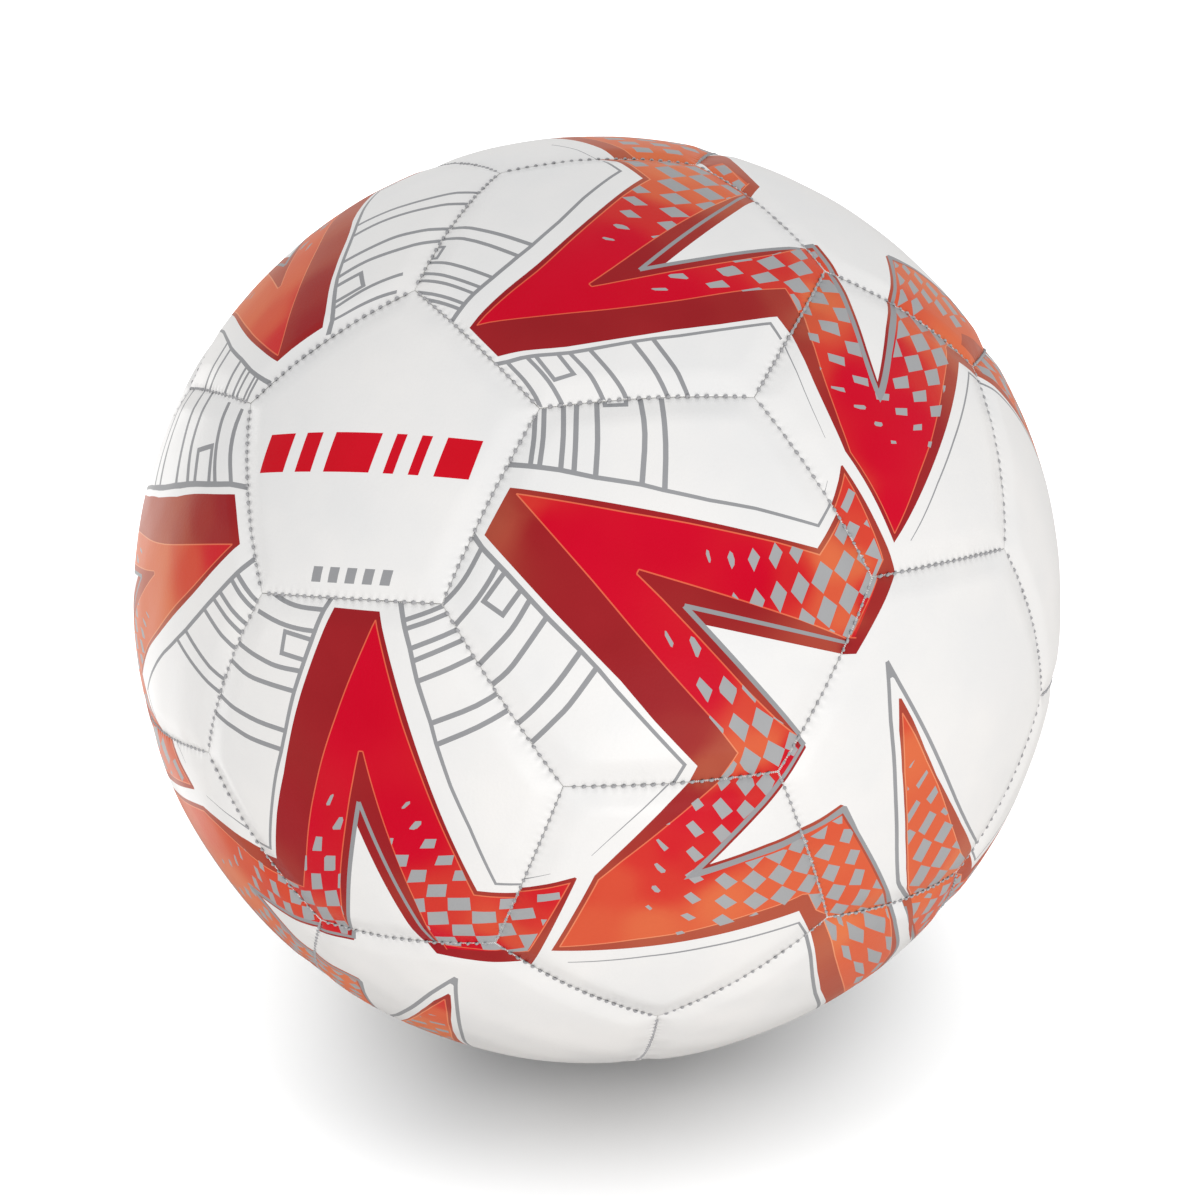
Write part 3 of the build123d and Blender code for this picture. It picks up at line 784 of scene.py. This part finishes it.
def triangulate(name, kind):
    """Plane points, triangles and material per triangle of a panel, following its print."""
    sides = SIDES[kind]
    layers = print_of(name, kind)
    pts, edges = [], []

    def add_points(line):
        pts.extend(tuple(p) for p in line)

    def add_loop(line):
        base, n = len(pts), len(line)
        add_points(line)
        edges.extend((base + i, base + (i + 1) % n) for i in range(n))

    rim = ring_loop(sides, GAP, RIM_STEP)
    add_loop(rim)
    for inset, step in RINGS:
        add_points(ring_loop(sides, inset, step))
    add_points(grid_points(sides))
    hole = None
    if kind == "valve":
        hole = circle(VALVE_HOLE, 48)
        add_loop(hole)
        for radius in (3.75, 4.0, 4.5, 5.2):
            add_points(circle(radius, 40))
    # only the stretches of the print near the panel matter
    surround = corners_of(sides, 1.06)
    for _, outline in layers:
        line = subdivided(outline, 2.4)
        keep = inside(surround, line)
        index = {}
        for i in range(len(line)):
            j = (i + 1) % len(line)
            if keep[i] or keep[j]:
                for k in (i, j):
                    if k not in index:
                        index[k] = len(pts)
                        pts.append(tuple(line[k]))
                edges.append((index[i], index[j]))

    flat = [Vector((float(x), float(y))) for x, y in pts]
    found, _, faces, *_ = delaunay_2d_cdt(flat, edges, [], 0, 1e-4, False)
    plane = np.array([[p.x, p.y] for p in found])
    tri = np.array([list(face) for face in faces if len(face) == 3])
    centre = plane[tri].mean(1)
    keep = inside(rim, centre)
    if hole is not None:
        keep &= ~inside(hole, centre)
    a = plane[tri[:, 1]] - plane[tri[:, 0]]
    b = plane[tri[:, 2]] - plane[tri[:, 0]]
    doubled_area = a[:, 0] * b[:, 1] - a[:, 1] * b[:, 0]
    tri[doubled_area < 0] = tri[doubled_area < 0][:, ::-1]
    keep &= np.abs(doubled_area) > 1e-7
    tri, centre = tri[keep], centre[keep]

    material = np.full(len(tri), WHITE)
    for ink_index, outline in layers:
        material[inside(outline, centre)] = ink_index
    material[arc_distances(centre, sides)[0].min(0) < BARE_EDGE] = WHITE
    used = np.unique(tri)
    renumber = -np.ones(len(plane), int)
    renumber[used] = np.arange(len(used))
    return plane[used], renumber[tri], material


flat_meshes = {}


def flat_mesh(name, kind):
    """Panels with the same print share one triangulation."""
    key = name if name in SHIFT or name in OWN_PRINT else kind
    if key not in flat_meshes:
        flat_meshes[key] = triangulate(name, kind)
    return flat_meshes[key]


def loops_of(tri):
    """Boundary loops, each in the direction the triangles run."""
    sides = dict.fromkeys((t[i], t[(i + 1) % 3]) for t in tri for i in range(3))
    following = {a: b for (a, b) in sides if (b, a) not in sides}
    out = []
    while following:
        start = next(iter(following))
        loop = [start]
        current = following.pop(start)
        while current != start:
            loop.append(current)
            current = following.pop(current)
        out.append(loop)
    return out


def zip_loops(inner, inner_angles, outer, outer_angles):
    """Triangles between two loops of different length, advancing by angle."""
    def rising(loop, angles):
        return (loop, angles) if angles[-1] > angles[0] else (loop[::-1], angles[::-1])

    turn = 2 * math.pi
    inner, ia = rising(inner, inner_angles)
    outer, oa = rising(outer, outer_angles)
    start = int(np.argmin(np.abs((oa - ia[0] + math.pi) % turn - math.pi)))
    outer = outer[start:] + outer[:start]
    oa = np.unwrap(np.concatenate([oa[start:], oa[:start]]))
    oa = oa - turn * round((oa[0] - ia[0]) / turn)
    ia, inner = list(ia) + [ia[0] + turn], inner + [inner[0]]
    oa, outer = list(oa) + [oa[0] + turn], outer + [outer[0]]
    triangles = []
    i = j = 0
    while i < len(inner) - 1 or j < len(outer) - 1:
        if j == len(outer) - 1 or (i < len(inner) - 1 and ia[i + 1] <= oa[j + 1]):
            triangles.append((inner[i], outer[j], inner[i + 1]))
            i += 1
        else:
            triangles.append((inner[i], outer[j], outer[j + 1]))
            j += 1
    return triangles


OUTER_WALL = (2.1, 3.2, 4.3, FLANGE)        # depths of the rings down the seam
INNER_WALL = (FLANGE, 4.2, 3.1)             # and back up the inner face
UNDERSIDE = (0.985, 0.95, 0.88, 0.75, 0.6, 0.42, 0.24)     # rings, as shares of the inner wall
SOFT_LEAN = 1.8                             # how far soft padding exaggerates the normals


def panel_shell(plane, tri, sides, seed):
    """Points and faces of a panel, and its rim; the printed face comes first in both."""
    verts = [lift(plane, skin_radius(plane, sides, seed))]
    faces = [tuple(t) for t in tri.tolist()]
    rim, *holes = sorted(loops_of(tri), key=len, reverse=True)

    def add_ring(ring_points):
        base = sum(len(v) for v in verts)
        verts.append(ring_points)
        return list(range(base, base + len(ring_points)))

    def bridge(a, b):
        for i in range(len(a)):
            j = (i + 1) % len(a)
            faces.append((a[j], a[i], b[i], b[j]))
        return b

    outer = plane[rim]
    inner = outer * (1 - (SKIN + 0.1) / INRADIUS[sides])
    last = rim
    for wall, depths in ((outer, OUTER_WALL), (inner, INNER_WALL)):
        for depth in depths:
            last = bridge(last, add_ring(lift(wall, np.full(len(rim), RADIUS - depth))))
    for share in UNDERSIDE[:-1] if holes else UNDERSIDE:
        q = inner * share
        radius = np.minimum(skin_radius(q, sides, seed) - 0.35, RADIUS - SKIN)
        last = bridge(last, add_ring(lift(q, radius)))
    if holes:
        # close on to the foot of the valve hole's wall
        edge = plane[holes[0]]
        foot = bridge(holes[0], add_ring(lift(edge, np.full(len(edge), RADIUS - SKIN))))
        edge_angles = np.unwrap(np.arctan2(edge[:, 1], edge[:, 0]))
        # by way of degrees, whose rounding settles ties with the hole's angles
        degrees = np.degrees(np.arctan2(inner[:, 1], inner[:, 0]))
        faces.extend(zip_loops(foot, edge_angles, last, np.unwrap(np.radians(degrees))))
    else:
        centre = add_ring(lift(np.zeros((1, 2)), np.array([RADIUS - SKIN])))[0]
        for i in range(len(last)):
            faces.append((last[(i + 1) % len(last)], last[i], centre))
    return np.concatenate(verts), faces, rim


def build_panel(name, kind, axes, seed, inks):
    sides = SIDES[kind]
    plane, tri, printed = flat_mesh(name, kind)
    shell, faces, rim = panel_shell(plane, tri, sides, seed)
    co = (shell @ axes) @ BALL_TURN.T / 1000.0
    materials = np.full(len(faces), BACK, np.int32)
    materials[:len(printed)] = printed
    me = bpy.data.meshes.new(name + "_skin")
    me.from_pydata(co.tolist(), [], faces)
    me.polygons.foreach_set("material_index", materials)
    me.polygons.foreach_set("use_smooth", np.ones(len(faces), bool))
    me.update()
    # leaning normals on the printed face, mesh normals on the rim and elsewhere
    mesh_normals = np.zeros(len(co) * 3, np.float32)
    me.vertices.foreach_get("normal", mesh_normals)
    mesh_normals = mesh_normals.reshape(-1, 3)
    out = lift(plane, np.ones(len(plane)))
    lean = out + SOFT_LEAN * (skin_normals(plane, sides, seed) - out)
    lean = (lean / np.linalg.norm(lean, axis=1)[:, None] @ axes) @ BALL_TURN.T
    normals = mesh_normals.copy()
    normals[:len(plane)] = lean
    normals[rim] = mesh_normals[rim]
    me.normals_split_custom_set_from_vertices(normals.tolist())
    ob = bpy.data.objects.new(name + "_skin", me)
    bpy.context.scene.collection.objects.link(ob)
    # painted highlight: at each point, how far the red inks are painted towards orange where they
    # catch light
    orange_highlight = me.attributes.new("ink", "FLOAT", "POINT")
    orange_highlight.data.foreach_set("value", painted_highlight(co).astype(np.float32))
    for material in inks:
        me.materials.append(material)
    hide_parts(name)
    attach(ob, "ball")


# Painted highlight: how far the red inks are painted lighter and more orange where they catch
# light, near the seams and towards the ball's outline as the camera sees it. Samples x,y,amount
# on some panels. Those of the panels not named "rear" are repeated on the other half.
ORANGE_HIGHLIGHT = {
    "crest_hexagon_panel_1": """0,30,0 -10,20,0 0,15,0 -20,0,0 -25,-12,0.1 -27,-22,0.4
        -20,-28,0.3 0,0,0 0,-12,0.3 8,-10,0.3 12,-20,0.8 8,-30,0.9 18,-30,1 -22,-36,0.6""",
    "crest_hexagon_panel_2": """0,37,0.6 -3,38,0.7 3,34,0.35 0,28,0 0,20,0 -12,12,0 10,5,0
        -20,-5,0 -26,-18,0.2 -30,-26,0.8 -24,-31,0.8 -20,-35,0.8 -13,-30,0.5 -15,-15,0
        10,-15,0 14,-24,0.2 14,-33,0.7 12,-38,0.8 22,-30,0.9 26,-36,0.9 5,-38,0.6
        32,-33,0.5""",
    "crest_hexagon_panel_3": """0,30,0 0,20,0 -20,-10,0 -25,-28,0.3 -20,-38,0.6 15,-28,0.4
        25,-35,0.6 10,-10,0 -15,-22,0.1""",
    "crest_hexagon_panel_4": """0,36,0.05 8,30,0.2 0,25,0.35 8,18,0.6 0,15,0.75 -10,10,0.9
        0,5,1 12,0,1 -5,-8,1 5,-15,1""",
    "crest_hexagon_panel_5": """3,35,0.1 11,32,0.3 0,22,0.3 12,20,0.7 -5,8,0.7 5,8,0.85
        18,8,0.9 -5,-8,0.9 22,-5,1""",
    "front_pentagon_panel_1": """-22,8,0 -10,10,0 0,0,0 5,15,0 -30,15,0.5 -20,18,0.4
        10,24,0.4 20,22,0.7 28,18,0.9 15,2,0.1 12,-6,0.3 15,-14,0.6 25,-10,0.8
        22,-20,0.95""",
    "front_pentagon_panel_2": """-22,6,0.7 -15,8,0.7 -5,0,0.85 -4,14,0.6 5,17,0.35 3,8,0.4
        10,15,0.2 18,20,0.1 25,15,0.1 32,14,0.3 12,8,0.3 10,-5,0.9 22,-12,0.8 20,-25,0.8
        -25,17,0.35 -32,12,0.6 -18,20,0.2""",
    "front_pentagon_panel_3": "-15,10,0.9 0,15,0.8 15,20,0.7 28,15,0.6 10,0,1",
    "front_pentagon_panel_5": "-25,15,0.95 -10,5,0.95 -25,-8,0.95",
    "front_hexagon_panel_1": "-35,20,0.7 -22,12,0.9 -20,0,1 10,36,0.8 20,35,0.9",
    "front_hexagon_panel_2": """-5,12,0.9 1,19,0.6 -15,-5,0.8 -25,-20,0.8 -22,-35,1
        -35,15,0.8 -30,20,0.7 -40,2,0.75 -38,-12,0.9 -20,41,0.1 8,40,0.1 20,40,0.2""",
    "front_hexagon_panel_3": """2,19,0.4 -4,10,0.8 -12,0,1 -18,-10,1 -20,41,0.2 8,40,0
        22,40,0.1 -32,18,1""",
    "rear_hexagon_panel_2": "-25,-25,0.9 -25,-40,0.9",
}


# directions and amounts of the painted orange highlight
def highlight_samples():
    directions, amounts = [], []
    for name, _, axes, _ in panels:
        if name not in ORANGE_HIGHLIGHT:
            continue
        for x, y, amount in points(ORANGE_HIGHLIGHT[name]):
            direction = unit(np.array([x, y, RADIUS]) @ axes)
            directions.append(direction)
            amounts.append(amount)
            if not name.startswith("rear"):
                directions.append(half_turn(direction))
                amounts.append(amount)
    return np.array(directions) @ BALL_TURN.T, np.array(amounts)


HIGHLIGHT_DIRECTIONS, HIGHLIGHT_AMOUNTS = highlight_samples()


def painted_highlight(co):
    """Amount of the painted highlight: average of the samples at each point, weighted towards the
    nearest.
    """
    directions = co / np.linalg.norm(co, axis=1)[:, None]
    squared = ((directions[:, None, :] - HIGHLIGHT_DIRECTIONS[None]) ** 2).sum(2) * RADIUS * RADIUS
    weight = 1 / (squared + 3.0) ** 2
    return np.clip((weight @ HIGHLIGHT_AMOUNTS) / weight.sum(1), 0, 1)


# ------------------------------------------------------------------ material helpers
def new_material(name):
    material = bpy.data.materials.new(name)
    material.use_nodes = True
    tree = material.node_tree
    return material, tree, tree.nodes["Principled BSDF"]


def set_inputs(tree, node, inputs):
    """Give inputs their values, or link them where a socket is given."""
    for key, value in inputs.items():
        if isinstance(value, bpy.types.NodeSocket):
            tree.links.new(value, node.inputs[key])
        else:
            node.inputs[key].default_value = value


def add_node(tree, kind, inputs=None, **settings):
    node = tree.nodes.new(kind)
    for key, value in settings.items():
        setattr(node, key, value)
    set_inputs(tree, node, inputs or {})
    return node


def add_math(tree, operation, *operands):
    node = add_node(tree, "ShaderNodeMath", dict(enumerate(operands)), operation=operation)
    return node.outputs[0]


def object_place(tree):
    return add_node(tree, "ShaderNodeTexCoord").outputs["Object"]


def add_noise(tree, place, **inputs):
    inputs = {"Vector": place, **inputs}
    return add_node(tree, "ShaderNodeTexNoise", inputs).outputs["Fac"]


def add_bump(tree, shader, height, strength, distance):
    bump = add_node(tree, "ShaderNodeBump",
                    {"Strength": strength, "Distance": distance, "Height": height})
    set_inputs(tree, shader, {"Normal": bump.outputs["Normal"]})


def map_range(tree, value, **limits):
    """Limits are given as from_min, from_max, to_min and to_max."""
    inputs = {key.replace("_", " ").title(): limit for key, limit in limits.items()}
    node = add_node(tree, "ShaderNodeMapRange", {"Value": value, **inputs})
    return node.outputs["Result"]


def add_mix(tree, inputs):
    return add_node(tree, "ShaderNodeMix", inputs, data_type="RGBA")


def linear(rgb):
    """An sRGB colour of 0 to 255 as linear RGBA."""
    def channel(c):
        c /= 255.0
        return c / 12.92 if c <= 0.04045 else ((c + 0.055) / 1.055) ** 2.4
    return (*map(channel, rgb), 1.0)


def two_tones(tree, factor, low, high):
    mix = add_mix(tree, {"Factor": factor, "A": linear(low), "B": linear(high)})
    return mix.outputs["Result"]


# ------------------------------------------------------------------ cover materials
def leather(tree, shader, low, high, strength, coat, rough, spec, scale=1.0):
    """Finely pebbled coated leather, uneven in gloss and wandering between two tones."""
    place = object_place(tree)
    pebbles = add_node(tree, "ShaderNodeTexVoronoi",
                       {"Vector": place, "Scale": 1500.0 * scale, "Smoothness": 0.6},
                       feature="SMOOTH_F1").outputs["Distance"]
    grain = add_noise(tree, place, Scale=420.0 * scale, Detail=4.0, Roughness=0.6)
    height = add_math(tree, "MULTIPLY_ADD", pebbles, 0.6, grain)
    add_bump(tree, shader, height, strength=strength, distance=0.0002)
    blotches = add_noise(tree, place, Scale=38.0, Detail=3.0, Roughness=0.55)
    set_inputs(tree, shader, {
        "Roughness": map_range(tree, blotches, from_min=0.3, from_max=0.7,
                               to_min=rough - 0.05, to_max=rough + 0.07),
        "Coat Weight": coat,
        "Coat Roughness": 0.22,
        "Coat IOR": 1.45,
        "Specular IOR Level": spec,
    })
    tone = map_range(tree, blotches, from_min=0.35, from_max=0.65)
    return two_tones(tree, tone, low, high)


def ink(name, low, high, orange_highlight=None, coat=0.03, spec=0.05):
    """Printed skin; orange_highlight is the pair of lighter tones of the painted highlight that
    the ink turns towards.
    """
    material, tree, shader = new_material(name)
    colour = leather(tree, shader, low, high, strength=0.15, coat=coat, rough=0.38, spec=spec)
    if orange_highlight:
        # painted highlight: the ink colour is mixed towards lighter orange tones by the ink
        # attribute
        amount = add_node(tree, "ShaderNodeAttribute", attribute_name="ink").outputs["Fac"]
        highlighted = add_mix(tree, {"Factor": amount, "A": colour})
        set_inputs(tree, highlighted, {"B": two_tones(tree, amount, *orange_highlight)})
        # light thrown on by the print stays neutral
        bounce = add_node(tree, "ShaderNodeLightPath").outputs["Is Diffuse Ray"]
        neutral = add_mix(tree, {"Factor": bounce, "A": highlighted.outputs["Result"],
                                 "B": (0.22, 0.22, 0.22, 1)})
        colour = neutral.outputs["Result"]
    set_inputs(tree, shader, {"Base Color": colour})
    return material


def backing():
    material, tree, shader = new_material("cover_edge_and_back")
    colour = leather(tree, shader, (196, 195, 192), (208, 207, 203),
                     strength=0.5, coat=0.0, rough=0.7, spec=0.45, scale=0.8)
    set_inputs(tree, shader, {"Base Color": colour})
    return material


# in the order of WHITE, RED ... BACK
inks = [
    ink("cover_white", (229, 229, 229), (234, 233, 232), coat=0.15, spec=0.4),
    # the red, dark red and edge line inks carry a painted orange highlight
    ink("print_red", (199, 0, 35), (204, 3, 39), orange_highlight=((208, 60, 42), (220, 118, 74))),
    ink("print_dark_red", (148, 28, 34), (156, 32, 38), orange_highlight=((164, 62, 48), (184, 98, 72))),
    ink("print_edge_line", (218, 92, 66), (224, 102, 74),
        orange_highlight=((224, 126, 90), (230, 150, 110))),
    ink("print_check_grey", (160, 161, 163), (166, 167, 169)),
    ink("print_line_grey", (146, 147, 150), (153, 154, 157)),
    ink("print_crest_red", (200, 10, 30), (208, 14, 36)),
    backing(),
]


# ------------------------------------------------------------------ materials of the other pieces
def lining_material():
    """Weave of threads in three directions."""
    material, tree, shader = new_material("lining_weave")
    place = object_place(tree)
    threads_x, threads_y, threads_z = [
        add_node(tree, "ShaderNodeTexWave",
                 {"Vector": place, "Scale": 620.0, "Distortion": 0.6, "Detail": 1.0},
                 wave_type="BANDS", bands_direction=axis).outputs["Fac"]
        for axis in "XYZ"
    ]
    crossed = add_math(tree, "MULTIPLY", threads_x, threads_y)
    weave = add_math(tree, "ADD", crossed, threads_z)
    add_bump(tree, shader, weave, strength=0.5, distance=0.0003)
    set_inputs(tree, shader, {
        "Base Color": two_tones(tree, weave, (176, 170, 152), (222, 217, 203)),
        "Roughness": 0.9,
        "Sheen Weight": 0.3,
    })
    return material


def rubber(name, low, high, rough, scale):
    material, tree, shader = new_material(name)
    place = object_place(tree)
    grain = add_noise(tree, place, Scale=scale, Detail=6.0, Roughness=0.65)
    dust = add_noise(tree, place, Scale=45.0, Detail=5.0, Roughness=0.7)
    add_bump(tree, shader, grain, strength=0.25, distance=0.0002)
    dusty = map_range(tree, dust, from_min=0.42, from_max=0.7)
    set_inputs(tree, shader, {
        "Base Color": two_tones(tree, dusty, low, high),
        "Roughness": map_range(tree, dust, to_min=rough - 0.08, to_max=rough + 0.15),
    })
    return material


def foam_material():
    material, tree, shader = new_material("foam_cells")
    cells = add_node(tree, "ShaderNodeTexVoronoi",
                     {"Vector": object_place(tree), "Scale": 900.0}).outputs["Distance"]
    add_bump(tree, shader, cells, strength=0.6, distance=0.0004)
    set_inputs(tree, shader, {
        "Base Color": two_tones(tree, cells, (205, 198, 172), (236, 230, 208)),
        "Roughness": 0.85,
    })
    return material


def thread_material():
    material, tree, shader = new_material("seam_thread_twist")
    fibres = add_noise(tree, object_place(tree), Scale=1800.0, Detail=3.0)
    add_bump(tree, shader, fibres, strength=0.7, distance=0.00015)
    set_inputs(tree, shader, {
        "Base Color": two_tones(tree, fibres, (136, 136, 139), (184, 184, 187)),
        "Roughness": 0.6,
    })
    return material


black = rubber("valve_rubber_black", (22, 22, 23), (38, 38, 40), rough=0.5, scale=260.0)
butyl = rubber("bladder_butyl", (24, 24, 26), (52, 52, 55), rough=0.6, scale=140.0)
lining = lining_material()
foam = foam_material()
for material, names in (
    (butyl, ("bladder", "valve_inner_patch", "balance_patch")),
    (black, ("valve_housing", "valve_insert")),
    (lining, ("valve_hole_ring", "pentagon_cloth_linings", "hexagon_cloth_linings")),
    (foam, ("pentagon_foam_pads", "hexagon_foam_pads")),
):
    for name in names:
        ob = frame["nodes"][name]
        if len(ob.material_slots) == 0:
            ob.data.materials.append(material)
        else:
            for slot in ob.material_slots:
                slot.material = material

# ------------------------------------------------------------------ cover
for name, kind, axes, seed in panels:
    build_panel(name, kind, axes, seed, inks)


# ------------------------------------------------------------------ stitches
STITCH_SIDES, STITCH_RINGS = 8, 7
THREAD_RADIUS = 0.345
THREAD_FLATNESS = 0.65              # thickness over width


def seams():
    """Pairs of neighbouring panel corners, as directions in the ball's frame."""
    tips = ([polar(90, 0)] + [polar(PENTAGON, -72 * k) for k in range(5)]
            + [polar(-PENTAGON, -36 - 72 * k) for k in range(5)] + [polar(-90, 0)])
    near = max(tips[0] @ tip for tip in tips[1:]) - 0.01
    corners = [unit(2 * a + b) for i, a in enumerate(tips) for j, b in enumerate(tips)
               if i != j and a @ b > near]
    close = max(corners[0] @ corner for corner in corners[1:]) - 0.01
    return [(a, b) for i, a in enumerate(corners) for b in corners[i + 1:] if a @ b >= close]


def stitch_points(middle, along, across, place, lean, half, depth):
    """Rings of points along one stitch, which surfaces in the seam and dives at both ends."""
    out = []
    for t in np.linspace(-1, 1, STITCH_RINGS):
        angle = (place + half * t) / RADIUS
        outward = unit(middle * math.cos(angle) + along * math.sin(angle))
        centre = outward * (RADIUS - depth - 0.42 * t ** 4 - 0.10 * t * t) + across * (lean * t)
        forward = -middle * math.sin(angle) + along * math.cos(angle)
        tangent = unit(forward - outward * (1.7 * t ** 3) * 0.9)
        x = unit(np.cross(tangent, outward))
        y = np.cross(x, tangent)
        radius = THREAD_RADIUS * (1.0 - 0.25 * t ** 4)
        for m in range(STITCH_SIDES):
            turn = 2 * math.pi * m / STITCH_SIDES
            section = x * math.cos(turn) + y * THREAD_FLATNESS * math.sin(turn)
            out.append((centre + section * radius) @ BALL_TURN.T / 1000.0)
    return out


def stitch_faces(base):
    out = []
    for ring in range(STITCH_RINGS - 1):
        o = base + ring * STITCH_SIDES
        for m in range(STITCH_SIDES):
            n = (m + 1) % STITCH_SIDES
            out.append((o + m, o + n, o + STITCH_SIDES + n, o + STITCH_SIDES + m))
    end = base + (STITCH_RINGS - 1) * STITCH_SIDES
    out.append(tuple(range(base, base + STITCH_SIDES))[::-1])
    out.append(tuple(range(end, end + STITCH_SIDES)))
    return out


def build_stitches():
    verts, faces = [], []
    rng = np.random.default_rng(7)
    for a, b in seams():
        across, middle, along = unit(np.cross(a, b)), unit(a + b), unit(b - a)
        for k in range(STITCHES):
            place = (k - (STITCHES - 1) / 2) * STITCH_STEP
            lean = 0.10 + 0.05 * rng.standard_normal()
            half = 0.44 + 0.05 * rng.standard_normal()
            depth = 0.63 + 0.04 * rng.standard_normal()
            faces += stitch_faces(len(verts))
            verts += stitch_points(middle, along, across, place, lean, half, depth)
    me = bpy.data.meshes.new("seam_stitches")
    me.from_pydata([tuple(v) for v in verts], [], faces)
    me.polygons.foreach_set("use_smooth", np.ones(len(faces), bool))
    me.update()
    bm = bmesh.new()
    bm.from_mesh(me)
    bmesh.ops.recalc_face_normals(bm, faces=bm.faces)
    bm.to_mesh(me)
    bm.free()
    ob = bpy.data.objects.new("seam_stitches", me)
    bpy.context.scene.collection.objects.link(ob)
    me.materials.append(thread_material())
    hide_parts("seam_thread")
    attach(ob, "ball")


build_stitches()

# ------------------------------------------------------------------ floor (metres from here on)
FLOOR_HALF, FLOOR_CELLS = 3.0, 24
FLOOR_BACK = 0.8                    # shift away from the camera
FLOOR_Z = -0.1101                   # just clear of the ball


def floor_material():
    material, tree, shader = new_material("floor_white")
    seen = add_node(tree, "ShaderNodeLightPath").outputs["Is Camera Ray"]
    shade = add_mix(tree, {
        "Factor": seen,
        "A": (0.40, 0.388, 0.376, 1),       # what the ball is lit by
        "B": (0.95, 0.95, 0.95, 1),         # what the camera sees
    })
    set_inputs(tree, shader, {
        "Base Color": shade.outputs["Result"],
        "Roughness": 0.9,
        "Specular IOR Level": 0.0,
    })
    # clear from below, so that the underside can be looked at through it
    clear = add_node(tree, "ShaderNodeBsdfTransparent").outputs["BSDF"]
    below = add_node(tree, "ShaderNodeNewGeometry").outputs["Backfacing"]
    both = add_node(tree, "ShaderNodeMixShader", {0: below, 1: shader.outputs["BSDF"], 2: clear})
    set_inputs(tree, tree.nodes["Material Output"], {"Surface": both.outputs["Shader"]})
    return material


def build_floor():
    n = FLOOR_CELLS
    line = [FLOOR_HALF * (2 * i / n - 1) for i in range(n + 1)]
    verts = [(x, y + FLOOR_BACK, FLOOR_Z) for y in line for x in line]
    starts = [j * (n + 1) + i for j in range(n) for i in range(n)]
    me = bpy.data.meshes.new("floor")
    me.from_pydata(verts, [], [(s, s + 1, s + n + 2, s + n + 1) for s in starts])
    ob = bpy.data.objects.new("floor", me)
    bpy.context.scene.collection.objects.link(ob)
    me.materials.append(floor_material())
    return ob


floor = build_floor()

# ------------------------------------------------------------------ light
scene = bpy.context.scene
scene.view_settings.view_transform = "Standard"
world = bpy.data.worlds.new("studio")
scene.world = world
world.use_nodes = True
set_inputs(world.node_tree, world.node_tree.nodes["Background"],
           {"Color": (1, 1, 1, 1), "Strength": 0.87})

on_ball = bpy.data.collections.new("ball_only")
on_floor = bpy.data.collections.new("floor_only")
on_floor.objects.link(floor)
for ob in scene.objects:
    if ob.type == "MESH" and ob is not floor:
        on_ball.objects.link(ob)


def sun(name, azimuth, elevation, power, spread, only, colour=(1, 1, 1)):
    """Very large, far softbox that lights one collection, softened over spread degrees."""
    direction = Vector(polar(elevation, azimuth))
    light = bpy.data.lights.new(name, "SUN")
    light.energy = power
    light.color = colour
    light.angle = math.radians(spread)
    ob = bpy.data.objects.new(name, light)
    scene.collection.objects.link(ob)
    ob.rotation_euler = direction.to_track_quat("Z", "Y").to_euler()
    ob.location = direction * 2
    ob.light_linking.receiver_collection = only
    ob.light_linking.blocker_collection = on_ball


sun("left_overhead_softbox", azimuth=170, elevation=66, power=1.85, spread=62, only=on_floor)
sun("right_overhead_softbox", azimuth=10, elevation=68, power=1.85, spread=62, only=on_floor)
sun("front_softbox", azimuth=-72, elevation=-2, power=1.10, spread=35, only=on_ball,
    colour=(1.0, 0.985, 0.97))
sun("rim_softbox", azimuth=135, elevation=-25, power=0.5, spread=40, only=on_ball)

# ------------------------------------------------------------------ camera
CAMERA_ELEVATION = math.radians(32.0)
CAMERA_DISTANCE = 5.637 * RADIUS / 1000

cam_data = bpy.data.cameras.new("camera")
cam = bpy.data.objects.new("camera", cam_data)
scene.collection.objects.link(cam)
cam.location = (0, -CAMERA_DISTANCE * math.cos(CAMERA_ELEVATION),
                CAMERA_DISTANCE * math.sin(CAMERA_ELEVATION))
cam.rotation_euler = (math.pi / 2 - CAMERA_ELEVATION, 0, 0)
cam_data.sensor_width = 36.0
cam_data.lens = 77.205
cam_data.shift_x = 0.00225
cam_data.shift_y = -0.00025
cam_data.clip_start = 0.01
scene.camera = cam
